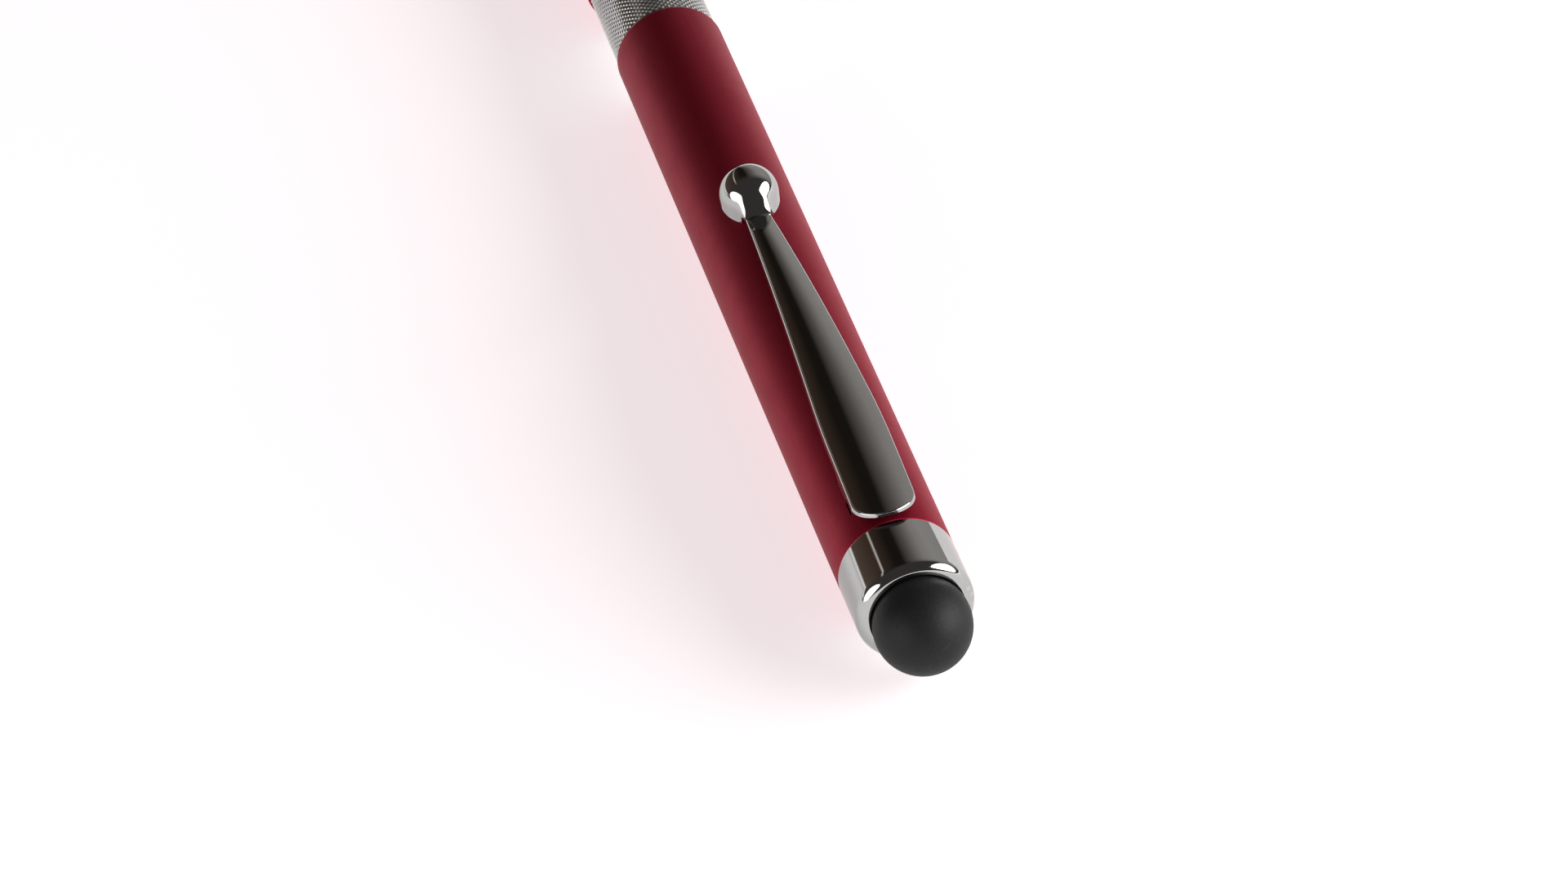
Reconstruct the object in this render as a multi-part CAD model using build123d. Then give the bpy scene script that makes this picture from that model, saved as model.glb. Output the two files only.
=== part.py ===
from build123d import *
import math
import os

# Twist-action ballpoint pen with a capacitive stylus end. Millimetres, +Z up.
# The pen lies along X with its clip on top: stylus at -X, writing point at +X.
# The barrel rests on Z = 0. The rest pose has the writing point drawn in.

# Barrel halves and the knurled ring between them
BARREL_D = 10.0
BARREL_WALL = 0.7
UPPER_LEN = 78.0
LOWER_LEN = 30.0
LOWER_STRAIGHT = 12.0
LOWER_TAPER = 0.65
LOWER_BELLY = 0.12
BARREL_EDGE_R = 0.4
RING_STEP = 0.2
RING_LEN = 12.0
RING_CHAMFER = 0.15
TWIST_GAP = 0.15

# Nose
NOSE_LEN = 11.0
NOSE_SPIGOT_LEN = 9.0
NOSE_MOUTH_D = 3.4
NOSE_BELLY = 0.55
NOSE_EDGE_R = 0.25
SPRING_SEAT_IN = 2.0
CHAMBER_D = 4.8

# Stylus end
FERRULE_LEN = 6.25
FERRULE_WALL = 0.8
FERRULE_FLOOR = 1.3
SHOULDER_R = 1.04
LIP_LAND = 0.45
STUD_SHARE = 0.6
STUD_LEN = 6.0
DOME_BULGE = 0.14
RUBBER_WALL = 0.9
RUBBER_FLANGE = 1.2
NECK_GAP = 0.2
NECK_IN = 0.13
PEG_LEN = 2.2

# Pocket clip, stamped from sheet as a crowned channel with a hollow ball end
CLIP_SHEET = 0.45
CLIP_HALF_W = 2.7
CLIP_NECK_HALF_W = 1.0
CLIP_SET_BACK = 0.15
CLIP_END_BULGE = 2.0
CLIP_END_CORNER_R = 1.2
CLIP_STRAIGHT = 12.0
CLIP_BASE_RISE = 0.8
CLIP_BOW_RISE = 2.4
CLIP_NECK_RISE = 0.55
CLIP_BASE_DEPTH = 1.2
CLIP_BOW_DEPTH = 1.35
CLIP_NECK_DEPTH = 0.65
CLIP_CROWN_R = 6.0
CLIP_BEND_R = 0.35
CLIP_BALL_D = 5.2
CLIP_BALL_AT = 45.9
CLIP_BALL_RISE = 1.2
CLIP_RIM_RISE = 0.6
CLIP_RIM_TILT = 16.0
CLIP_MOUTH_HALF_W = 1.4
CLIP_MOUTH_RISE = 0.75
CLIP_OPEN_END = 2.6
TAB_AT = 4.2
TAB_LEN = 3.0
TAB_TOE = 1.0
TAB_TOE_H = 0.6
TAB_CLEAR = 0.3

# Bushing that locks the clip's toes and takes the ferrule's stud
BUSHING_SET_BACK = 0.3
BUSHING_LEN = 10.0

# Twist mechanism: a fixed guide tube with straight slots inside a turning cam
# The walls of cam and guide tube are shares of the room between bore and refill
CAM_SHARE = 0.46
GUIDE_SHARE = 0.19
GUIDE_ABOVE = 52.0
CAM_LEN = 14.0
CAM_PIN_BACK = 4.0
CAM_END_PLAY = 0.1
FEED_TRAVEL = 4.0
TWIST_ANGLE = 180.0
HELIX_STEPS = 12
PIN_D = 1.0
PIN_SHORT = 0.3
SNAP_RING_W = 0.5
SNAP_RING_MOUTH = 3.0
SNAP_GROOVE = 0.2
COLLAR_LEN = 3.0
BARE_SHARE = 0.72
FOLLOWER_BACK = 3.0
FOLLOWER_LEN = 10.0
SOCKET_FLOOR = 0.7

# Centre coupling
SPIGOT_LEN = 7.0
COUPLING_IN = 7.0
ORING_CORD = 0.5

# Refill
REFILL_D = 3.2
REFILL_WALL = 0.25
REFILL_HEAD_D = 3.8
REFILL_HEAD_LEN = 3.0
REFILL_STUB = 3.0
REFILL_NECK_D = 2.3
REFILL_COLLAR_D = 4.2
REFILL_COLLAR_LEN = 1.2
POINT_CONE = 2.8
POINT_RIM_D = 1.1
POINT_RECESS = 0.8
INK_BORE_D = 0.5
BALL_D = 1.0
BALL_OUT = 0.3

# Return spring
SPRING_WIRE = 0.35
SPRING_TURNS = 6
SPRING_LEN = 9.0
SPRING_D = 3.5
SPRING_END_GAP = 0.03

# Clearances, radial unless a name says otherwise
GLUE_FIT = 0.02
RUN_FIT = 0.06
BALL_FIT = 0.02
SLOT_FIT = 0.08
MOUTH_FIT = 0.15

# Radii that follow from the sizes above
BARREL_R = BARREL_D / 2
BORE_R = BARREL_R - BARREL_WALL
RING_R = BARREL_R - RING_STEP
SPIGOT_R = BORE_R - RUN_FIT
LOWER_END_R = BARREL_R - LOWER_TAPER
LOWER_BORE_R = LOWER_END_R - BARREL_WALL
CHAMBER_R = CHAMBER_D / 2
CAVITY_R = BARREL_R - FERRULE_WALL
LIP_R = BARREL_R - SHOULDER_R
STUD_R = STUD_SHARE * BORE_R
DOME_R = LIP_R + DOME_BULGE
NECK_R = LIP_R - NECK_GAP
RUBBER_BORE_R = NECK_R - RUBBER_WALL
REFILL_R = REFILL_D / 2
REFILL_BORE_R = REFILL_R - REFILL_WALL
REFILL_HEAD_R = REFILL_HEAD_D / 2
REFILL_NECK_R = REFILL_NECK_D / 2
ROOM = BORE_R - REFILL_HEAD_R
GUIDE_R = BORE_R - CAM_SHARE * ROOM
GUIDE_BORE_R = GUIDE_R - GUIDE_SHARE * ROOM
COUPLING_BORE_R = GUIDE_R + GLUE_FIT
BARE_R = GUIDE_R + BARE_SHARE * (BORE_R - GUIDE_R)
PIN_R = PIN_D / 2
SLOT_HALF = PIN_R + SLOT_FIT
ORING_R = ORING_CORD / 2
BALL_R = BALL_D / 2

# Stations along the pen, from the stylus to the writing point
DOME_BACK = math.sqrt(DOME_R**2 - NECK_R**2)
DOME_OUT = DOME_BACK + DOME_R - NECK_IN
TOTAL_LEN = DOME_OUT + FERRULE_LEN + UPPER_LEN + TWIST_GAP + RING_LEN + LOWER_LEN + NOSE_LEN
X_APEX = -TOTAL_LEN / 2
X_DOME = X_APEX + DOME_R
X_LIP = X_APEX + DOME_OUT
X_TOP = X_LIP + FERRULE_LEN
X_TWIST = X_TOP + UPPER_LEN
X_RING = X_TWIST + TWIST_GAP
X_LOWER = X_RING + RING_LEN
X_NOSE = X_LOWER + LOWER_LEN
X_MOUTH = X_NOSE + NOSE_LEN
X_LEDGE = X_LIP + LIP_LAND
X_FLANGE = X_LEDGE + RUBBER_FLANGE
X_FLOOR = X_TOP - FERRULE_FLOOR
X_GUIDE = X_TWIST - GUIDE_ABOVE
X_GROOVE = X_GUIDE + SNAP_RING_W
X_CAM = X_GROOVE + SNAP_RING_W + CAM_END_PLAY
X_PIN = X_CAM + CAM_PIN_BACK
X_COLLAR = X_CAM + CAM_LEN + CAM_END_PLAY
X_SOCKET = X_PIN + PIN_R + SOCKET_FLOOR
X_TUBE = X_SOCKET + REFILL_HEAD_LEN
X_SPIGOT = X_TWIST - SPIGOT_LEN
X_COUPLING_END = X_LOWER + COUPLING_IN
X_SEAT = X_NOSE + SPRING_SEAT_IN
X_SPRING = X_SEAT - SPRING_LEN
X_STOP = X_SPRING - REFILL_COLLAR_LEN
X_POINT = X_MOUTH - POINT_RECESS
X_BALL = X_POINT - BALL_R
X_RIM = X_POINT - BALL_OUT

# Places on the clip
X_CLIP = X_TOP + CLIP_SET_BACK
X_CLIP_BALL = X_TOP + CLIP_BALL_AT
X_TAB = X_TOP + TAB_AT
TAB_Y = CLIP_HALF_W - CLIP_SHEET / 2
TOE_TOP = math.sqrt(BORE_R**2 - CLIP_HALF_W**2) - TAB_CLEAR
TOE_BOTTOM = TOE_TOP - TAB_TOE_H
CLIP_BALL_R = CLIP_BALL_D / 2
CLIP_BALL_Z = BARREL_R + CLIP_BALL_RISE
X_CLIP_BOW = (X_CLIP + X_CLIP_BALL) / 2
CLIP_HIGH = 2 * BARREL_R + CLIP_BOW_RISE

# Length by which a cutting tool runs past the face that it cuts
OVER = 1.0


def turned(*corners):
    """Solid of revolution about the pen's axis from (x, radius) corners."""
    outline = Polyline(*[(x, 0, r) for x, r in corners], close=True)
    return revolve(make_face(outline), Axis.X)


def turned_curve(*edges):
    """Solid of revolution about the pen's axis from lines and arcs in order."""
    return revolve(make_face(Curve() + list(edges)), Axis.X)


def chain(*corners):
    """Straight edges through (x, radius) corners."""
    return Polyline(*[(x, 0, r) for x, r in corners])


def bow(start, end, belly):
    """Arc between two (x, radius) points, standing out from its chord by belly."""
    middle = ((start[0] + end[0]) / 2, 0, (start[1] + end[1]) / 2 + belly)
    return ThreePointArc((start[0], 0, start[1]), middle, (end[0], 0, end[1]))


def tube(x_from, x_to, outer, inner):
    """Plain round tube between two stations."""
    return turned((x_from, inner), (x_to, inner), (x_to, outer), (x_from, outer))


def rod(x_from, x_to, radius):
    """Plain round bar between two stations."""
    return turned((x_from, 0), (x_to, 0), (x_to, radius), (x_from, radius))


def block(x_from, x_to, y_middle, y_size, z_from, z_to):
    """Box between two stations and two heights."""
    middle = Pos((x_from + x_to) / 2, y_middle, (z_from + z_to) / 2)
    return middle * Box(x_to - x_from, y_size, z_to - z_from)


def rim(solid, x, radius):
    """Circular edges of a turned solid at one station and radius."""
    circles = solid.edges().filter_by(GeomType.CIRCLE)
    return [e for e in circles if abs(e.arc_center.X - x) < 1e-4 and abs(e.radius - radius) < 1e-4]


def upper_barrel():
    """Plain tube with a rounded open end and two slits that the clip's tabs are pushed through."""
    body = tube(X_TOP, X_TWIST, BARREL_R, BORE_R)
    body = fillet(rim(body, X_TWIST, BARREL_R), min(BARREL_EDGE_R, 0.7 * BARREL_WALL))
    for side in (-1, 1):
        body -= tab_room(side, X_TAB - TAB_TOE, X_TAB + TAB_LEN, TOE_BOTTOM, BARREL_R + OVER)
    return body


def tab_room(side, x_from, x_to, z_from, z_to):
    """Room with clearance for one of the clip's tabs."""
    return block(x_from - TAB_CLEAR, x_to + TAB_CLEAR, side * TAB_Y, CLIP_SHEET + TAB_CLEAR / 2, z_from, z_to)


def top_bushing():
    """Plug in the barrel's end that stops the clip's tabs from sliding back, bored for the stud."""
    x_from = X_TOP + BUSHING_SET_BACK
    x_to = x_from + BUSHING_LEN
    body = tube(x_from, x_to, BORE_R - GLUE_FIT, STUD_R + GLUE_FIT)
    for side in (-1, 1):
        body -= tab_room(side, X_TAB, x_to, TOE_BOTTOM - TAB_CLEAR, BORE_R + OVER)
    return body


def stylus_ferrule():
    """Cup with a rounded shoulder and a lip round the rubber, and a stud behind."""
    turn = SHOULDER_R * (1 - math.sqrt(0.5))
    shoulder = ThreePointArc(
        (X_LIP + SHOULDER_R, 0, BARREL_R),
        (X_LIP + turn, 0, BARREL_R - turn),
        (X_LIP, 0, LIP_R),
    )
    inside = chain((X_LIP, LIP_R), (X_LEDGE, LIP_R), (X_LEDGE, CAVITY_R), (X_FLOOR, CAVITY_R), (X_FLOOR, 0))
    stud = chain((X_FLOOR, 0), (X_TOP + STUD_LEN, 0), (X_TOP + STUD_LEN, STUD_R), (X_TOP, STUD_R))
    outside = chain((X_TOP, STUD_R), (X_TOP, BARREL_R), (X_LIP + SHOULDER_R, BARREL_R))
    return turned_curve(shoulder, inside, stud, outside)


def stylus_tip():
    """Hollow rubber dome with a neck through the lip and a flange behind it."""
    hollow_r = DOME_R - RUBBER_WALL
    hollow_back = math.sqrt(hollow_r**2 - RUBBER_BORE_R**2)
    half = math.sqrt(0.5)
    flange = chain(
        (X_FLANGE, RUBBER_BORE_R),
        (X_FLANGE, CAVITY_R - GLUE_FIT),
        (X_LEDGE + GLUE_FIT, CAVITY_R - GLUE_FIT),
        (X_LEDGE + GLUE_FIT, NECK_R),
        (X_DOME + DOME_BACK, NECK_R),
    )
    skin = ThreePointArc(
        (X_DOME + DOME_BACK, 0, NECK_R),
        (X_DOME - DOME_R * half, 0, DOME_R * half),
        (X_APEX, 0, 0),
    )
    wall = Line((X_APEX, 0, 0), (X_APEX + RUBBER_WALL, 0, 0))
    hollow = ThreePointArc(
        (X_APEX + RUBBER_WALL, 0, 0),
        (X_DOME - hollow_r * half, 0, hollow_r * half),
        (X_DOME + hollow_back, 0, RUBBER_BORE_R),
    )
    bore = Line((X_DOME + hollow_back, 0, RUBBER_BORE_R), (X_FLANGE, 0, RUBBER_BORE_R))
    return turned_curve(flange, skin, wall, hollow, bore)


def tip_plug():
    """Plug on the ferrule's floor whose peg spreads the rubber's neck."""
    peg_r = RUBBER_BORE_R - GLUE_FIT
    peg_end = X_FLANGE - PEG_LEN
    return turned(
        (X_FLOOR, 0),
        (X_FLOOR, CAVITY_R - GLUE_FIT),
        (X_FLANGE, CAVITY_R - GLUE_FIT),
        (X_FLANGE, peg_r),
        (peg_end, peg_r),
        (peg_end, 0),
    )


def clip_line(base, middle, neck):
    """Bowed line along the clip through three heights above the barrel."""
    heights = ((X_CLIP, base), (X_CLIP_BOW, middle), (X_CLIP_BALL, neck))
    return ThreePointArc(*[(x, 0, BARREL_R + rise) for x, rise in heights])


def clip_crown(depth):
    """Everything under the clip's top, which is bowed along and crowned across, less a depth."""
    top = clip_line(CLIP_BASE_RISE, CLIP_BOW_RISE, CLIP_NECK_RISE)
    hub = top.arc_center
    z_top = hub.Z + top.radius - depth
    reach = CLIP_HALF_W + OVER
    z_side = z_top - CLIP_CROWN_R + math.sqrt(CLIP_CROWN_R**2 - reach**2)
    z_foot = z_top - CLIP_HIGH
    across = [
        ThreePointArc((hub.X, -reach, z_side), (hub.X, 0, z_top), (hub.X, reach, z_side)),
        Polyline(
            (hub.X, reach, z_side),
            (hub.X, reach, z_foot),
            (hub.X, -reach, z_foot),
            (hub.X, -reach, z_side),
        ),
    ]
    half_turn = math.degrees(math.asin((X_CLIP_BALL - X_CLIP) / top.radius))
    axis = Axis((hub.X, 0, hub.Z), (0, 1, 0))
    return revolve(make_face(Curve() + across).rotate(axis, -half_turn), axis, 2 * half_turn)


def clip_side():
    """Everything above the lower edge of the clip's sides, as a slab across the pen."""
    edge = clip_line(
        CLIP_BASE_RISE - CLIP_BASE_DEPTH,
        CLIP_BOW_RISE - CLIP_BOW_DEPTH,
        CLIP_NECK_RISE - CLIP_NECK_DEPTH,
    )
    start, end = edge @ 0, edge @ 1
    over = Polyline(end, (end.X, 0, CLIP_HIGH), (start.X, 0, CLIP_HIGH), start)
    return extrude(make_face(Curve() + [edge, over]), CLIP_HALF_W + OVER, dir=(0, 1, 0), both=True)


def clip_plan(inset):
    """Tapered outline of the clip seen from above, drawn in by inset, as a tall prism."""
    wide = CLIP_HALF_W - inset
    narrow = CLIP_NECK_HALF_W - inset
    x_end = X_CLIP + inset
    x_side = x_end + CLIP_END_BULGE
    x_taper = X_TOP + CLIP_STRAIGHT
    sides = Polyline((x_side, wide), (x_taper, wide), (X_CLIP_BALL, narrow), (X_CLIP_BALL, -narrow),
                     (x_taper, -wide), (x_side, -wide))
    end = ThreePointArc((x_side, -wide), (x_end, 0), (x_side, wide))
    face = make_face(Curve() + [sides, end])
    corners = face.vertices().group_by(Axis.X)[0]
    face = fillet(corners, CLIP_END_CORNER_R - inset / 2)
    return extrude(face, CLIP_HIGH)


def clip_ball(radius):
    """Round cap on a straight skirt that reaches down into the barrel's top."""
    half = radius * math.sqrt(0.5)
    top = CLIP_BALL_Z + radius
    foot = BARREL_R - CLIP_BALL_RISE
    outline = [
        Polyline((0, 0, top), (0, 0, foot), (radius, 0, foot), (radius, 0, CLIP_BALL_Z)),
        ThreePointArc((radius, 0, CLIP_BALL_Z), (half, 0, CLIP_BALL_Z + half), (0, 0, top)),
    ]
    return Pos(X_CLIP_BALL, 0, 0) * revolve(make_face(Curve() + outline), Axis.Z)


def clip_cap():
    """Solid ball end, trimmed to a rim that dips towards the neck and opened below the neck."""
    lean = Plane((X_CLIP_BALL, 0, BARREL_R + CLIP_RIM_RISE)).rotated((0, -CLIP_RIM_TILT, 0))
    cap = split(clip_ball(CLIP_BALL_R), bisect_by=lean, keep=Keep.TOP)
    x_front = X_CLIP_BALL - CLIP_BALL_R
    return cap - block(x_front, X_CLIP_BALL, 0, 2 * CLIP_MOUTH_HALF_W, 0, BARREL_R + CLIP_MOUTH_RISE)


def clip_tab(side):
    """Tab that goes through the barrel's slit, with a toe that hooks under the wall."""
    x_to = X_TAB + TAB_LEN
    tab = block(X_TAB, x_to, side * TAB_Y, CLIP_SHEET, TOE_BOTTOM, CLIP_HIGH) & clip_crown(CLIP_SHEET)
    return tab + block(x_to, x_to + TAB_TOE, side * TAB_Y, CLIP_SHEET, TOE_BOTTOM, TOE_TOP)


def pocket_clip():
    """Crowned channel, open below, with a hollow ball at its free end and two toed tabs."""
    outer = clip_plan(0) & clip_crown(0) & clip_side()
    top_face = outer.faces().filter_by(GeomType.TORUS)[0]
    bends = [e for e in top_face.edges() if e.center().X < X_CLIP_BALL - OVER / 10]
    body = fillet(bends, CLIP_BEND_R) + clip_cap() - clip_ball(CLIP_BALL_R - CLIP_SHEET)
    below = clip_crown(CLIP_SHEET)
    body -= clip_plan(CLIP_SHEET) & below
    body -= block(X_CLIP - OVER, X_TOP + CLIP_OPEN_END, 0, 2 * BARREL_R, 0, CLIP_HIGH) & below
    return body + clip_tab(-1) + clip_tab(1)


def on_helix(angle_turned, radius, x_shift):
    """Point in the cam that lies over the cross pin after a turn, in radians."""
    angle = -angle_turned
    x = X_PIN + FEED_TRAVEL * angle_turned / math.radians(TWIST_ANGLE) + x_shift
    return (x, radius * math.cos(angle), radius * math.sin(angle))


def cam_slot():
    """Helical slot tool: radial rectangles along the pin's path, lofted straight."""
    lead = FEED_TRAVEL / math.radians(TWIST_ANGLE)
    half = SLOT_HALF * math.hypot(1, lead / GUIDE_R)
    spare = SLOT_HALF / GUIDE_R * math.hypot(1, lead / GUIDE_R)
    sweep_angle = math.radians(TWIST_ANGLE) + 2 * spare
    r_from = GUIDE_R - OVER / 2
    r_to = BORE_R + OVER / 2
    sections = []
    for step in range(HELIX_STEPS + 1):
        turn = sweep_angle * step / HELIX_STEPS - spare
        corners = [(r_from, -half), (r_to, -half), (r_to, half), (r_from, half)]
        points = [on_helix(turn, radius, shift) for radius, shift in corners]
        sections.append(make_face(Polyline(*points, close=True)))
    return loft(sections, ruled=True)


def cam_sleeve():
    """Sleeve fixed in the upper barrel, with two helical slots that drive the pin."""
    body = tube(X_CAM, X_CAM + CAM_LEN, BORE_R - GLUE_FIT, GUIDE_R + RUN_FIT)
    slot = cam_slot()
    body -= slot
    body -= Rot(180, 0, 0) * slot
    return body


def guide_tube():
    """Tube fixed in the coupling, with straight slots for the pin and a ring groove."""
    body = tube(X_GUIDE, X_COUPLING_END, GUIDE_R, GUIDE_BORE_R)
    x_from = X_PIN - SLOT_HALF
    x_to = X_PIN + FEED_TRAVEL + SLOT_HALF
    body -= block(x_from, x_to, 0, 2 * BORE_R, -SLOT_HALF, SLOT_HALF)
    body -= tube(X_GROOVE, X_GROOVE + SNAP_RING_W, GUIDE_R + OVER, GUIDE_R - SNAP_GROOVE)
    return body


def snap_ring():
    """Open spring ring in the guide tube's groove, above the cam."""
    body = tube(
        X_GROOVE + GLUE_FIT,
        X_GROOVE + SNAP_RING_W - GLUE_FIT,
        BARE_R,
        GUIDE_R - SNAP_GROOVE + GLUE_FIT,
    )
    return body - block(X_GUIDE, X_CAM, 0, SNAP_RING_MOUTH, -BORE_R, 0)


def stop_collar():
    """Collar pressed on the guide tube, below the cam."""
    return tube(X_COLLAR, X_COLLAR + COLLAR_LEN, BARE_R, GUIDE_R + GLUE_FIT)


def follower():
    """Slider in the guide tube, cross-drilled for the pin, with a socket for the refill."""
    x_from = X_PIN - FOLLOWER_BACK
    x_to = x_from + FOLLOWER_LEN
    body = rod(x_from, x_to, GUIDE_BORE_R - RUN_FIT)
    body -= rod(X_SOCKET, x_to + OVER, REFILL_HEAD_R + GLUE_FIT)
    return body - pin_bar(PIN_R + GLUE_FIT, 2 * BORE_R)


def pin_bar(radius, length):
    """Round bar across the pen at the pin's station."""
    return Pos(X_PIN, 0, 0) * Rot(90, 0, 0) * Cylinder(radius, length)


def cross_pin():
    """Pin through the follower, both slots of the guide tube and both of the cam."""
    return pin_bar(PIN_R, 2 * (BORE_R - PIN_SHORT))


def centre_coupling():
    """Bush that carries the ring and guide tube, screws into the lower barrel and pilots the upper."""
    thread_r = BORE_R - GLUE_FIT
    body = turned(
        (X_SPIGOT, COUPLING_BORE_R),
        (X_SPIGOT, SPIGOT_R),
        (X_LOWER, SPIGOT_R),
        (X_LOWER, thread_r),
        (X_COUPLING_END, thread_r),
        (X_COUPLING_END, COUPLING_BORE_R),
    )
    middle = X_SPIGOT + SPIGOT_LEN / 2
    half = ORING_R + GLUE_FIT
    return body - tube(middle - half, middle + half, BORE_R + OVER, BORE_R - 2 * half)


def friction_ring():
    """Rubber ring in the coupling's groove that gives the twist its drag."""
    middle = Pos(X_SPIGOT + SPIGOT_LEN / 2, 0, 0) * Rot(0, 90, 0)
    return middle * Torus(BORE_R - GLUE_FIT - ORING_R, ORING_R)


def knurled_ring():
    """Sleeve between the barrel halves, with broken edges."""
    body = tube(X_RING, X_LOWER, RING_R, SPIGOT_R + GLUE_FIT)
    return chamfer(rim(body, X_RING, RING_R) + rim(body, X_LOWER, RING_R), RING_CHAMFER)


def lower_barrel():
    """Tube that tapers to the nose, bored for the coupling at one end and the nose at the other."""
    x_taper = X_LOWER + LOWER_STRAIGHT
    outside = bow((x_taper, BARREL_R), (X_NOSE, LOWER_END_R), LOWER_BELLY)
    inside = chain(
        (X_NOSE, LOWER_END_R),
        (X_NOSE, LOWER_BORE_R),
        (X_COUPLING_END, LOWER_BORE_R),
        (X_COUPLING_END, BORE_R),
        (X_LOWER, BORE_R),
        (X_LOWER, BARREL_R),
        (x_taper, BARREL_R),
    )
    body = turned_curve(outside, inside)
    return fillet(rim(body, X_LOWER, BARREL_R), min(BARREL_EDGE_R, 0.7 * BARREL_WALL))


def nose_cone():
    """Convex cone with a spigot, a spring chamber and a mouth for the point."""
    mouth_r = NOSE_MOUTH_D / 2
    neck_bore = REFILL_NECK_R + MOUTH_FIT
    x_back = X_NOSE - NOSE_SPIGOT_LEN
    outside = bow((X_NOSE, LOWER_END_R), (X_MOUTH, mouth_r), NOSE_BELLY)
    inside = chain(
        (X_MOUTH, mouth_r),
        (X_MOUTH, neck_bore),
        (X_SEAT, neck_bore),
        (X_SEAT, CHAMBER_R),
        (x_back, CHAMBER_R),
        (x_back, LOWER_BORE_R - GLUE_FIT),
        (X_NOSE, LOWER_BORE_R - GLUE_FIT),
        (X_NOSE, LOWER_END_R),
    )
    body = turned_curve(outside, inside)
    return fillet(rim(body, X_MOUTH, mouth_r), min(NOSE_EDGE_R, 0.7 * (mouth_r - neck_bore)))


def refill_plug():
    """Head that sits in the follower, with a stub in the ink tube."""
    stub_r = REFILL_BORE_R - GLUE_FIT
    return rod(X_SOCKET, X_TUBE, REFILL_HEAD_R) + rod(X_TUBE, X_TUBE + REFILL_STUB, stub_r)


def refill_tube():
    """Ink tube from the plug to the point's collar."""
    return tube(X_TUBE, X_STOP, REFILL_R, REFILL_BORE_R)


def refill_point():
    """Point holder: stub, spring collar, neck, cone and ball seat, bored for ink."""
    stub_r = REFILL_BORE_R - GLUE_FIT
    collar_r = REFILL_COLLAR_D / 2
    body = turned(
        (X_STOP - REFILL_STUB, 0),
        (X_STOP - REFILL_STUB, stub_r),
        (X_STOP, stub_r),
        (X_STOP, collar_r),
        (X_SPRING, collar_r),
        (X_SPRING, REFILL_NECK_R),
        (X_RIM - POINT_CONE, REFILL_NECK_R),
        (X_RIM, POINT_RIM_D / 2),
        (X_RIM, 0),
    )
    body -= rod(X_STOP - REFILL_STUB - OVER, X_BALL, INK_BORE_D / 2)
    return body - Pos(X_BALL, 0, 0) * Sphere(BALL_R + BALL_FIT)


def point_ball():
    """Ball that rolls in the point."""
    return Pos(X_BALL, 0, 0) * Sphere(BALL_R)


def biarc(start, start_way, end, end_way):
    """Two arcs that leave start along start_way and reach end along end_way."""
    span = end - start
    a = 2 * (1 - start_way.dot(end_way))
    b = 2 * span.dot(start_way + end_way)
    reach = (math.sqrt(b**2 + 4 * a * span.dot(span)) - b) / (2 * a)
    first = start + start_way * reach
    second = end - end_way * reach
    joint = (first + second) * 0.5
    return [TangentArc(start, joint, tangent=start_way), TangentArc(joint, end, tangent=second - first)]


def return_spring():
    """Coil between the point's collar and the seat in the nose, as one round wire."""
    wire_r = SPRING_WIRE / 2
    coil_r = SPRING_D / 2 - wire_r
    x_from = X_SPRING + wire_r + SPRING_END_GAP
    pitch = (SPRING_LEN - SPRING_WIRE - 2 * SPRING_END_GAP) / SPRING_TURNS
    slope = pitch / (2 * math.pi)
    arcs = []
    points = []
    for half_turn in range(2 * SPRING_TURNS + 1):
        angle = math.pi * half_turn
        place = Vector(x_from + slope * angle, coil_r * math.cos(angle), coil_r * math.sin(angle))
        way = Vector(slope, -coil_r * math.sin(angle), coil_r * math.cos(angle)).normalized()
        points.append((place, way))
    for (start, start_way), (end, end_way) in zip(points, points[1:]):
        arcs += biarc(start, start_way, end, end_way)
    section = Plane(points[0][0], z_dir=points[0][1]) * Circle(wire_r)
    return sweep(section, Curve() + arcs)


PIECES = {
    "upper_barrel": upper_barrel,
    "top_bushing": top_bushing,
    "stylus_ferrule": stylus_ferrule,
    "stylus_tip": stylus_tip,
    "tip_plug": tip_plug,
    "pocket_clip": pocket_clip,
    "cam_sleeve": cam_sleeve,
    "guide_tube": guide_tube,
    "snap_ring": snap_ring,
    "stop_collar": stop_collar,
    "follower": follower,
    "cross_pin": cross_pin,
    "centre_coupling": centre_coupling,
    "friction_ring": friction_ring,
    "knurled_ring": knurled_ring,
    "lower_barrel": lower_barrel,
    "nose_cone": nose_cone,
    "refill_plug": refill_plug,
    "refill_tube": refill_tube,
    "refill_point": refill_point,
    "point_ball": point_ball,
    "return_spring": return_spring,
}

os.makedirs("parts", exist_ok=True)
for name, make in PIECES.items():
    export_step(Pos(0, 0, BARREL_R) * make(), f"parts/{name}.step")
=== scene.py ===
"""Dressed model of a twist-action stylus pen, lying on a pale floor in a small studio."""
import logging
import math
from dataclasses import dataclass
from enum import Enum
from typing import Sequence

import bmesh
import bpy
from mathutils import Matrix, Vector


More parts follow.
